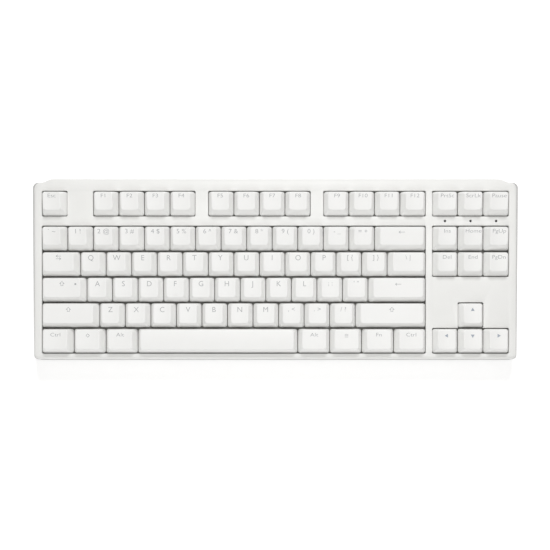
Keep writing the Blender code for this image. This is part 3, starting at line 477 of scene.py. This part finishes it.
def textMesh(text):
    # flat letters of the built-in font, centred on x with their foot on y = 0
    curve = bpy.data.curves.new("legend", "FONT")
    curve.body = text
    curve.align_x = "CENTER"
    curve.offset = legend["thin"]
    curve.resolution_u = 3
    obj = bpy.data.objects.new("legend", curve)
    bpy.context.scene.collection.objects.link(obj)
    bpy.context.view_layer.update()
    mesh = bpy.data.meshes.new_from_object(obj.evaluated_get(bpy.context.evaluated_depsgraph_get()))
    bm = bmesh.new()
    bm.from_mesh(mesh)
    bpy.data.objects.remove(obj)
    bmesh.ops.remove_doubles(bm, verts=bm.verts, dist=1e-5)
    return bm


def fontHeight():
    bm = textMesh("H")
    height = max(vert.co.y for vert in bm.verts)
    bm.free()
    return height


def addStroke(bm, start, end, width):
    start, end = Vector(start), Vector(end)
    along = end - start
    turn = Matrix.Rotation(math.atan2(along.y, along.x), 4, "Z")
    size = Matrix.Diagonal((along.length + width, width, 1, 1))
    middle = (start + end) / 2
    bmesh.ops.create_grid(bm, x_segments=1, y_segments=1, size=0.5,
                          matrix=Matrix.Translation((middle.x, middle.y, 0)) @ turn @ size)


def addOutline(bm, points, width):
    # a closed shape drawn with a line of one width, kept inside the points
    face = bm.faces.new([bm.verts.new((x, y, 0)) for x, y in points])
    face.normal_update()
    bmesh.ops.inset_individual(bm, faces=[face], thickness=width, use_even_offset=True)
    bmesh.ops.delete(bm, geom=[face], context="FACES_ONLY")


def signMesh(sign):
    # drawn signs, in mm, with their foot on y = 0
    bm = bmesh.new()
    stroke = legend["stroke"] / mm
    hollow = [(0, 3.4), (-2.0, 1.5), (-0.95, 1.5), (-0.95, 0), (0.95, 0), (0.95, 1.5), (2.0, 1.5)]

    def arrow(x, y, side, length):
        addStroke(bm, (x - length / 2, y), (x + length / 2, y), stroke)
        for lift in (-1, 1):
            tip = x + side * length / 2
            addStroke(bm, (tip, y), (tip - side * 1.0, y + lift * 0.8), stroke)
    if sign == "arrowLeft":
        arrow(0, 1.2, -1, 4.2)
    elif sign == "twoArrows":
        arrow(0, 2.7, -1, 3.4)
        arrow(0, 0.8, 1, 3.4)
    elif sign == "hollowArrow":
        addOutline(bm, hollow, stroke)
    elif sign == "arrowAndDot":
        addOutline(bm, hollow, stroke)
        bmesh.ops.create_grid(bm, x_segments=1, y_segments=1, size=0.65, matrix=Matrix.Translation((10.0, 1.2, 0)))
    elif sign == "diamond":
        addOutline(bm, [(0, 0), (1.5, 1.5), (0, 3.0), (-1.5, 1.5)], stroke)
    elif sign == "menuLines":
        for y in (0.4, 1.4, 2.4):
            addStroke(bm, (-1.2, y), (1.2, y), stroke)
    else:
        turn = Matrix.Translation((0, 1.35, 0)) @ Matrix.Rotation(math.radians(sign), 4, "Z")
        bmesh.ops.create_circle(bm, cap_ends=True, segments=3, radius=1.6, matrix=turn)
    return bm


def inlay(bm, key, height, scale, stretch=1):
    # the flat drawing brought to size, cut into narrow strips, laid on the dished top and given its thickness
    form = CapForm(key)
    foot = form.rimY - legend["setback"] - height
    size = Matrix.Diagonal((scale * stretch, scale, scale, 1))
    bmesh.ops.transform(bm, matrix=Matrix.Translation((0, foot, 0)) @ size, verts=bm.verts)
    reach = max(abs(vert.co.x) for vert in bm.verts)
    for i in range(-math.floor(reach / legend["strip"]), math.floor(reach / legend["strip"]) + 1):
        bmesh.ops.bisect_plane(bm, geom=list(bm.verts) + list(bm.edges) + list(bm.faces), dist=1e-8,
                               plane_co=(i * legend["strip"], 0, 0), plane_no=(1, 0, 0))
    for vert in bm.verts:
        vert.co.z = form.topHeight(vert.co.x, vert.co.y) + legend["lift"]
    lower = bmesh.ops.extrude_face_region(bm, geom=list(bm.faces))["geom"]
    sunk = [item for item in lower if isinstance(item, bmesh.types.BMVert)]
    bmesh.ops.translate(bm, verts=sunk, vec=(0, 0, -legend["depth"]))
    bmesh.ops.transform(bm, matrix=Matrix.Translation((key["across"], key["up"], cap["base"])), verts=bm.verts)
    return bm


def legendFor(name, key):
    if name in words:
        return inlay(textMesh(words[name]), key, legend["word"], legend["word"] / letterHeight, legend["wordStretch"])
    if name in pairs:
        return inlay(textMesh(pairs[name]), key, legend["pair"], legend["pair"] / letterHeight, legend["pairStretch"])
    if name in signs:
        return inlay(signMesh(signs[name]), key, legend["sign"], mm)
    if len(name) == 1:
        return inlay(textMesh(name.upper()), key, legend["letter"], legend["letter"] / letterHeight)
    return None


def joinInto(bm, other):
    mesh = bpy.data.meshes.new("join")
    other.to_mesh(mesh)
    other.free()
    bm.from_mesh(mesh)
    bpy.data.meshes.remove(mesh)


letterHeight = fontHeight()
legends = {}
for name, key in keys.items():
    drawn = legendFor(name, key)
    if drawn:
        look = "legendBlue" if isinstance(signs.get(name), int) else "legendGrey"
        joinInto(legends.setdefault((key["node"], look), bmesh.new()), drawn)
for (node, look), bm in legends.items():
    finishPiece(bm, "legend_" + node, look, node, keyPlane)
print("legends:", len(legends))

# the case: a top cover with rolled edges and openings for the keys, over a tub that stands a little proud of it

case = {"width": 364 * mm, "depth": 135 * mm, "sideInset": 1.8 * mm, "frontInset": 1.0 * mm,
        "rearOverhang": 2.7 * mm, "frontCorner": 3 * mm, "rearCorner": 4.5 * mm, "shoulder": 9 * mm,
        "cornerSteps": 8, "rollSteps": 9, "rollStart": 0.45, "sideRoll": 2.2 * mm, "frontRoll": 1.0 * mm,
        "rearRoll": 7.6 * mm, "rimUpper": 0.8 * mm, "rimLower": 0.5 * mm, "bezel": 7.5 * mm, "skin": 2.2 * mm,
        "skinDrop": 4 * mm, "opening": 0.06 * mm, "openingCorner": 1.0 * mm, "openingFoot": -2 * mm, "lip": 0.35 * mm,
        "sharp": 30}
# the tub, with the steps of its rim as inset and drop, the room left for the cover and the well for the works
tub = {"rear": 2.3 * mm, "corner": 4.2 * mm, "rimRise": 3.2 * mm, "underside": 1.0 * mm, "floor": 3.2 * mm,
       "chamfer": 1.4 * mm, "chamferSteps": 4, "rimSteps": ((0, 0.7 * mm), (0.3 * mm, 0.25 * mm), (1.2 * mm, 0)),
       "rimFront": 0.3 * mm, "ledge": -1.8 * mm, "wall": 2.4 * mm, "coverGap": 0.12 * mm, "coverFront": 2 * mm,
       "coverTop": 30 * mm, "wellGap": 0.4 * mm, "wellFall": 7 * mm, "wellTop": 60 * mm}


def outline(side, front, rear, frontCorner, rearCorner, shoulder=0):
    # points round the case in plan, mirrored about the middle; the rear edge eases back from its corners
    halfWidth = case["width"] / 2 - side
    frontEdge = -case["depth"] / 2 + front
    steps = case["cornerSteps"]
    right = []
    for i in range(steps + 1):
        turn = math.pi / 2 * i / steps
        right.append((halfWidth - frontCorner * (1 - math.sin(turn)), frontEdge + frontCorner * (1 - math.cos(turn))))
    for i in range(steps + 1):
        turn = math.pi / 2 * i / steps
        right.append((halfWidth - rearCorner * (1 - math.cos(turn)),
                      rear - shoulder - rearCorner * (1 - math.sin(turn))))
    for i in range(1, steps + 1):
        ease = i / steps * i / steps * (3 - 2 * i / steps)
        right.append((halfWidth - rearCorner - i / steps * case["shoulder"], rear - shoulder + ease * shoulder))
    return right + [(-x, y) for x, y in reversed(right)]


def onPlane(points, height):
    rise = board["height"] + height / math.cos(board["lean"])
    return [Vector((x, y, rise + y * math.tan(board["lean"]))) for x, y in points]


def coverRings(skin=0):
    # from the lower rim to the flat bezel; the rear rolls over a long curve and the rest over a short one
    side, front, rear = case["sideInset"] + skin, case["frontInset"] + skin, case["depth"] / 2 - skin
    top = case["bezel"] - skin
    rim = case["rimUpper"] - (case["skinDrop"] if skin else 0)
    rings = [onPlane(outline(side, front, rear, case["frontCorner"], case["rearCorner"], case["rearOverhang"]), rim)]
    for i in range(case["rollSteps"] + 1):
        turn = math.pi / 2 * i / case["rollSteps"]
        inward = 1 - math.cos(turn)
        share = case["rollStart"] + (1 - case["rollStart"]) * math.sin(turn)
        ring = outline(side + case["sideRoll"] * inward, front + case["frontRoll"] * inward,
                       rear - case["rearRoll"] * inward, case["frontCorner"],
                       case["rearCorner"] + case["rearRoll"] * inward / 2, case["rearOverhang"] * (1 - inward))
        rings.append(onPlane(ring, case["rimUpper"] + (top - case["rimUpper"]) * share))
    return rings


# openings: row in key units above the bottom row, first and last column, and how many rows down they reach
openings = [*((board["functionRow"], first, last, 1) for first, last in
              ((0, 1), (2, 6), (6.5, 10.5), (11, 15), (15.25, 18.25))),
            (4, 0, 15, 5), (4, 15.25, 18.25, 2), (0, 15.25, 18.25, 1)]
upOpening = (1, 16.25, 17.25, 1)
lights = {"columns": (15.75, 16.75, 17.75), "row": (board["functionRow"] + 4) / 2, "hole": 0.9 * mm}


def openingCutter(entries):
    bm = bmesh.new()
    for row, first, last, rows in entries:
        back = board["bottomRow"] + (row + 0.5) * board["pitch"] + case["opening"]
        front = back - rows * board["pitch"] - 2 * case["opening"]
        addRounded(bm, (board["left"] + first * board["pitch"] - case["opening"], front, case["openingFoot"]),
                   (board["left"] + last * board["pitch"] + case["opening"], back, 3 * case["bezel"]),
                   case["openingCorner"])
    return scratch(bm, keyPlane)


def softenBezel(bm, reach):
    # the crisp edges where an opening meets the flat bezel are rounded
    up = keyPlane.to_3x3() @ Vector((0, 0, 1))
    flat = keyPlane @ Vector((0, 0, case["bezel"]))
    edges = [edge for edge in bm.edges if all(abs((vert.co - flat).dot(up)) < 1e-6 for vert in edge.verts)
             and len(edge.link_faces) == 2 and edge.calc_face_angle(0) > 1.0]
    bmesh.ops.bevel(bm, geom=edges, offset=reach, segments=3, profile=0.5, affect="EDGES", material=-1)


def coverSolid(skin=0):
    # cut lines through every opening keep each flat face free of holes
    bm = loft(coverRings(skin))
    for column in sorted({(first + last) / 2 for row, first, last, rows in openings}.union(lights["columns"])):
        bmesh.ops.bisect_plane(bm, geom=[*bm.verts, *bm.edges, *bm.faces], dist=1e-7,
                               plane_co=(board["left"] + column * board["pitch"], 0, 0), plane_no=(1, 0, 0))
    return bm


def makeCover():
    lightRods = bmesh.new()
    for column in lights["columns"]:
        addRod(lightRods, lights["hole"], 3 * case["skin"], (board["left"] + column * board["pitch"],
               board["bottomRow"] + lights["row"] * board["pitch"], case["bezel"] - case["skin"] / 2), (0, 0, 1))
    bm = carve(coverSolid(), [(scratch(coverSolid(case["skin"])), "DIFFERENCE"),
                              (openingCutter(openings), "DIFFERENCE"), (openingCutter([upOpening]), "DIFFERENCE"),
                              (scratch(lightRods, keyPlane), "DIFFERENCE")])
    softenBezel(bm, case["lip"])
    piece = finishPiece(bm, "top_cover", "caseWhite", "case", None, case["sharp"])
    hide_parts("top_case")


makeCover()
print("top cover done")

feet = {"across": 148 * mm, "axisY": 50 * mm, "axisZ": 3.4 * mm, "thick": 4 * mm, "tall": (22 * mm, 17 * mm),
        "short": (12.8 * mm, 10.5 * mm), "rounded": 0.98, "axle": 0.9 * mm, "bore": 1.2 * mm, "axleEnd": 1.6 * mm,
        "gap": 0.3 * mm, "pocketGap": 1.0 * mm, "pocketCeiling": 6.6 * mm, "pocketRoof": 2.0 * mm,
        "pocketCorner": 0.8 * mm, "pocketFoot": -1 * mm}
# grip ribs at a foot's tip: where the first stands and how far apart they are, in mm, then their cuts' sizes
ribs = {"count": 4, "first": 1.6, "apart": 1.1, "margin": 1.2 * mm, "half": 0.25 * mm, "deep": 0.3 * mm}
strips = {"width": 9 * mm, "height": 1.5 * mm, "corner": 4.05 * mm, "soft": 0.35 * mm, "groove": 1.8 * mm,
          "grooveFoot": -1 * mm, "grooveCorner": 4.3 * mm, "front": (-55 * mm, 320 * mm), "rear": (50 * mm, 220 * mm)}
socket = {"across": -122 * mm, "width": 8.9 * mm, "length": 7.2 * mm, "height": 3.2 * mm, "lift": -8.8 * mm,
          "rounding": 1.3 * mm, "wall": 0.35 * mm, "depth": 5.6 * mm, "hole": 20 * mm,
          "recess": (13.5 * mm, 3.5 * mm, 8 * mm), "recessCorner": 1.2 * mm}
tongue = {"half": 3.3 * mm, "thick": 0.35 * mm, "corner": 0.2 * mm, "behindMouth": 1.0 * mm}
contact = {"count": 12, "apart": 0.5 * mm, "half": 0.13 * mm, "low": 0.33 * mm, "high": 0.38 * mm,
           "root": 0.3 * mm, "behindTip": 0.5 * mm}
rearWall = case["depth"] / 2 - case["rearOverhang"] + socket["lift"] * math.sin(board["lean"])
socket["rear"] = rearWall / math.cos(board["lean"])


def blockBox(margin, low, high):
    front = board["bottomRow"] - board["pitch"] / 2 - margin
    back = board["bottomRow"] + (board["functionRow"] + 0.5) * board["pitch"] + margin
    return (board["left"] - margin, front, low), (-board["left"] + margin, back, high)


def pocketBox(side, grow=0):
    half = feet["tall"][0] / 2 + feet["gap"] + grow
    front = feet["axisY"] - feet["tall"][1] - feet["pocketGap"] - grow
    back = feet["axisY"] + feet["thick"] / 2 + feet["pocketGap"] + grow
    return ((side * feet["across"] - half, front, feet["pocketFoot"] if not grow else 0),
            (side * feet["across"] + half, back, feet["pocketCeiling"] + min(grow, feet["pocketRoof"])))


def rimHeight(point, drop=0):
    # the tub's rim climbs towards the rear, outside the cover's wall
    share = (point[1] + case["depth"] / 2) / case["depth"]
    return onPlane([point], case["rimLower"] + tub["rimRise"] * share - drop)[0]


def tubRings():
    # the underside rounds up into sides that lean out to the rim
    front, rear = case["frontInset"], case["depth"] / 2 - tub["rear"]
    rings = []
    for i in range(tub["chamferSteps"] + 1):
        turn = math.pi / 2 * i / tub["chamferSteps"]
        inset, rise = tub["chamfer"] * (1 - math.sin(turn)), tub["chamfer"] * (1 - math.cos(turn))
        ring = outline(inset, front + inset, rear - inset, case["frontCorner"], tub["corner"])
        rings.append([Vector((x, y, tub["underside"] + rise)) for x, y in ring])
    for inset, drop in tub["rimSteps"]:
        ring = outline(inset, front + min(inset, tub["rimFront"]), rear - inset, case["frontCorner"], tub["corner"])
        rings.append([rimHeight(point, drop) for point in ring])
    return rings


def coverRoom():
    # the room that the cover's wall takes inside the rim
    gap = tub["coverGap"]
    ring = outline(case["sideInset"] - gap, case["frontInset"] - gap - tub["coverFront"], case["depth"] / 2 + gap,
                   case["frontCorner"], case["rearCorner"], case["rearOverhang"])
    return scratch(loft([onPlane(ring, case["rimLower"]), onPlane(ring, tub["coverTop"])]))


def wellCutters():
    (left, front, _), (right, back, _) = blockBox(tub["wellGap"], 0, 0)
    lean, drop = math.cos(board["lean"]), tub["wellFall"] * math.sin(board["lean"])
    lower, blocks, upper = bmesh.new(), bmesh.new(), bmesh.new()
    addBox(lower, (left, front * lean + drop, tub["floor"]), (right, back * lean + drop, tub["wellTop"]))
    for side in (-1, 1):
        addBox(blocks, *pocketBox(side, feet["axleEnd"] + feet["pocketRoof"]))
    well = scratch(carve(lower, [(scratch(blocks), "DIFFERENCE")]))
    addBox(upper, (-case["width"] / 2 + tub["wall"], -case["depth"] / 2 + tub["wall"] + feet["gap"], tub["ledge"]),
           (case["width"] / 2 - tub["wall"], case["depth"] / 2 - case["rearOverhang"] - tub["wall"], tub["wellTop"]))
    return [(well, "DIFFERENCE"), (scratch(upper, keyPlane), "DIFFERENCE")]


def makeTub():
    pockets, bores, grooves, hole, recess = [bmesh.new() for _ in range(5)]
    for side in (-1, 1):
        addRounded(pockets, *pocketBox(side), feet["pocketCorner"])
        addRod(bores, feet["bore"], feet["tall"][0] + 2 * (feet["axleEnd"] + feet["gap"]),
               (side * feet["across"], feet["axisY"], feet["axisZ"]), (1, 0, 0))
    for y, length in (strips["front"], strips["rear"]):
        half = Vector((length / 2 + feet["gap"], strips["width"] / 2 + feet["gap"], 0))
        addRounded(grooves, Vector((0, y, strips["grooveFoot"])) - half, Vector((0, y, strips["groove"])) + half,
                   strips["grooveCorner"], 2, 8)
    halfX, halfZ = socket["width"] / 2 + feet["gap"], socket["height"] / 2 + feet["gap"]
    addRounded(hole, (socket["across"] - halfX, socket["rear"] - socket["hole"], socket["lift"] - halfZ),
               (socket["across"] + halfX, socket["rear"], socket["lift"] + halfZ), socket["rounding"], 1)
    width, depth, height = socket["recess"]
    addRounded(recess, (socket["across"] - width / 2, socket["rear"] - depth, socket["lift"] - height / 2),
               (socket["across"] + width / 2, socket["rear"] + depth, socket["lift"] + height / 2),
               socket["recessCorner"], 1)
    cutters = [(scratch(bm, place), "DIFFERENCE") for bm, place in
               ((pockets, None), (bores, None), (grooves, None), (hole, keyPlane), (recess, keyPlane))]
    bm = carve(loft(tubRings()), [(coverRoom(), "DIFFERENCE")] + wellCutters() + cutters)
    # the lower shell's grey finish is painted shade over what is white plastic like the cover
    piece = finishPiece(bm, "lower_shell", "shellPaintedShade", "case", None, case["sharp"])
    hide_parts("bottom_case")


makeTub()
print("lower shell done")


# folding feet: on each side a short foot, which carries the axle, nests in the window of a tall one

def makeFeet():
    for label, side in (("left", -1), ("right", 1)):
        place = Matrix.Translation((side * feet["across"], feet["axisY"], feet["axisZ"]))
        for size in ("tall", "short"):
            width, length = feet[size]
            half = feet["thick"] / 2
            bm = bmesh.new()
            addBox(bm, (-width / 2, -length, -half), (width / 2, half, half))
            across = [edge for edge in bm.edges if abs((edge.verts[0].co - edge.verts[1].co).normalized().x) > 0.9]
            rearEdges = [edge for edge in across if edge.verts[0].co.y > 0]
            bmesh.ops.bevel(bm, geom=rearEdges, offset=half * feet["rounded"], segments=8, profile=0.5,
                            affect="EDGES", material=-1)
            cutters = []
            if size == "tall":
                window, bore = bmesh.new(), bmesh.new()
                halfWindow = feet["short"][0] / 2 + feet["gap"]
                addBox(window, (-halfWindow, -feet["short"][1] - 2 * feet["gap"], -feet["thick"]),
                       (halfWindow, feet["thick"], feet["thick"]))
                addRod(bore, feet["bore"], 2 * width, (0, 0, 0), (1, 0, 0))
                cutters = [(scratch(window), "DIFFERENCE"), (scratch(bore), "DIFFERENCE")]
            else:
                axle = bmesh.new()
                addRod(axle, feet["axle"], feet["tall"][0] + 2 * feet["axleEnd"], (0, 0, 0), (1, 0, 0))
                cutters = [(scratch(axle), "UNION")]
            cuts = bmesh.new()
            for i in range(ribs["count"]):
                y = -length + (ribs["first"] + ribs["apart"] * i) * mm
                addBox(cuts, (-width / 2 + ribs["margin"], y - ribs["half"], -half - mm),
                       (width / 2 - ribs["margin"], y + ribs["half"], -half + ribs["deep"]))
            cutters.append((scratch(cuts), "DIFFERENCE"))
            bm = carve(bm, cutters)
            node = f"{label}_{size}_foot"
            piece = finishPiece(bm, node + "_moulding", "caseWhite", node, place)
            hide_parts(node)


makeFeet()


def makeStrips():
    for name in ("front", "rear"):
        y, length = strips[name]
        bm = bmesh.new()
        addRounded(bm, (-length / 2, y - strips["width"] / 2, 0),
                   (length / 2, y + strips["width"] / 2, strips["height"]),
                   strips["corner"], 2, 10, strips["soft"])
        piece = finishPiece(bm, name + "_strip", "rubberGrey", "case")
        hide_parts(name + "_rubber_strip")


makeStrips()


def makeSocket():
    # a thin steel shell round a black tongue that carries two rows of contacts
    place = keyPlane @ Matrix.Translation((socket["across"], 0, socket["lift"]))
    mouth = socket["rear"] - socket["recess"][1]
    halfX, halfZ, wall = socket["width"] / 2, socket["height"] / 2, socket["wall"]
    shell, room = bmesh.new(), bmesh.new()
    addRounded(shell, (-halfX, mouth - socket["length"], -halfZ), (halfX, mouth, halfZ), socket["rounding"], 1, 8)
    addRounded(room, (-halfX + wall, mouth - socket["depth"], -halfZ + wall), (halfX - wall, mouth + mm, halfZ - wall),
               socket["rounding"] - wall, 1, 8)
    bm = carve(shell, [(scratch(room), "DIFFERENCE")])
    piece = finishPiece(bm, "socket_shell", "shellSteel", "case", place)
    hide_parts("cable_socket")
    blade, contacts = bmesh.new(), bmesh.new()
    tip = mouth - tongue["behindMouth"]
    addRounded(blade, (-tongue["half"], mouth - socket["depth"], -tongue["thick"]),
               (tongue["half"], tip, tongue["thick"]), tongue["corner"], 1, 2)
    for level in (-1, 1):
        for i in range(contact["count"]):
            x = (i - (contact["count"] - 1) / 2) * contact["apart"]
            low, high = sorted((level * contact["low"], level * contact["high"]))
            addBox(contacts, (x - contact["half"], mouth - socket["depth"] + contact["root"], low),
                   (x + contact["half"], tip - contact["behindTip"], high))
    finishPiece(blade, "socket_tongue", "tongueBlack", "case", place)
    finishPiece(contacts, "socket_contacts", "contactGold", "case", place)


makeSocket()
print("feet, strips and socket done")

coil = {"radius": 1.9 * mm, "wire": 0.2 * mm, "turns": 7, "turnSteps": 16, "wireSides": 8, "foot": -3.0 * mm,
        "top": 4.0 * mm, "pressed": 0.44}


def makeCoil():
    # the return spring in the space bar's switch, built at one length; the real one shortens as the bar goes down
    bm = bmesh.new()
    steps = coil["turns"] * coil["turnSteps"]
    start = Matrix.Translation((coil["radius"], 0, coil["foot"])) @ Matrix.Rotation(math.pi / 2, 4, "X")
    ring = bmesh.ops.create_circle(bm, segments=coil["wireSides"], radius=coil["wire"], matrix=start)
    bmesh.ops.spin(bm, geom=ring["verts"] + list(bm.edges), cent=(0, 0, 0), axis=(0, 0, 1),
                   angle=2 * math.pi * coil["turns"], dvec=(0, 0, (coil["top"] - coil["foot"]) / steps), steps=steps)
    bmesh.ops.holes_fill(bm, edges=[edge for edge in bm.edges if edge.is_boundary], sides=0)
    place = keyPlane @ Matrix.Translation((keys["space"]["across"], keys["space"]["up"], 0))
    piece = finishPiece(bm, "return_coil", "springSteel", "case", place)
    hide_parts("space_return_spring")
    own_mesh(piece)


makeCoil()

# CAD nodes that keep their shape and get a finish

kept = {"switch_plate": "plateGrey", "circuit_board": "boardWhite", "switch_housings": "housingDark",
        "damping_pad": "foamGrey", "indicator_light_pipe": "lensSmoke", "space_stabiliser_wire": "springSteel"}
for name, look in kept.items():
    for materialSlot in nodes[name].material_slots:
        materialSlot.material = material[look]

# floor, light and camera

paleFloor = {"color": (0.93, 0.93, 0.93), "shade": (0.92, 0.92, 0.92), "amount": 0.3, "cloud": 3, "rough": 0.7,
             "spread": 0.05, "grain": 400, "bump": 0.02, "depth": 0.1 * mm, "half": 2.5, "glow": 0.33}
floorMesh = bmesh.new()
bmesh.ops.create_grid(floorMesh, x_segments=1, y_segments=1, size=paleFloor["half"])
floorData = bpy.data.meshes.new("floor")
floorMesh.to_mesh(floorData)
floorMesh.free()
floor = bpy.data.objects.new("floor", floorData)
bpy.context.scene.collection.objects.link(floor)
floorPaper = makeMaterial("floorPaper", paleFloor)
floorShader = next(node for node in floorPaper.node_tree.nodes if node.type == "BSDF_PRINCIPLED")
floorShader.inputs["Emission Color"].default_value = (1, 1, 1, 1)
floorShader.inputs["Emission Strength"].default_value = paleFloor["glow"]
# from below, the floor is clear, so that the underside can be seen
clear = floorPaper.node_tree.nodes.new("ShaderNodeBsdfTransparent")
choice = floorPaper.node_tree.nodes.new("ShaderNodeMixShader")
underneath = floorPaper.node_tree.nodes.new("ShaderNodeNewGeometry").outputs["Backfacing"]
plug(floorPaper.node_tree, underneath, choice.inputs[0])
plug(floorPaper.node_tree, floorShader.outputs[0], choice.inputs[1])
plug(floorPaper.node_tree, clear.outputs[0], choice.inputs[2])
plug(floorPaper.node_tree, choice.outputs[0],
     next(node for node in floorPaper.node_tree.nodes if node.type == "OUTPUT_MATERIAL").inputs["Surface"])
floorData.materials.append(floorPaper)

areaLights = [
    {"name": "nearSoftbox", "place": (0.12, -0.1, 0.65), "size": 0.4, "power": 0.53},
    {"name": "rearSoftbox", "place": (0.05, 0.7, 0.8), "size": 0.25, "power": 4.8},
    {"name": "frontSoftbox", "place": (-0.15, -0.7, 0.7), "size": 0.6, "power": 2.1},
]
for spec in areaLights:
    lamp = bpy.data.lights.new(spec["name"], "AREA")
    lamp.shape = "SQUARE"
    lamp.size = spec["size"]
    lamp.energy = spec["power"]
    lampObject = bpy.data.objects.new(spec["name"], lamp)
    lampObject.location = spec["place"]
    lampObject.rotation_euler = (-Vector(spec["place"])).to_track_quat("-Z", "Y").to_euler()
    bpy.context.scene.collection.objects.link(lampObject)

studio = {"color": (1, 0.992, 0.975, 1), "strength": 0.43}
world = bpy.data.worlds.new("studio")
world.use_nodes = True
background = next(node for node in world.node_tree.nodes if node.type == "BACKGROUND")
background.inputs["Color"].default_value = studio["color"]
background.inputs["Strength"].default_value = studio["strength"]
bpy.context.scene.world = world

view = {"place": (0, -0.1017, 0.5381), "lens": 45.67, "shiftX": -0.0007, "shiftY": 0.127, "sensor": 36}
camera = bpy.data.cameras.new("camera")
camera.lens = view["lens"]
camera.sensor_width = view["sensor"]
camera.shift_x, camera.shift_y = view["shiftX"], view["shiftY"]
cameraObject = bpy.data.objects.new("camera", camera)
cameraObject.location = view["place"]
cameraObject.rotation_euler = (board["lean"], 0, 0)
bpy.context.scene.collection.objects.link(cameraObject)
bpy.context.scene.camera = cameraObject
bpy.context.scene.view_settings.view_transform = "Standard"

print("scene done")
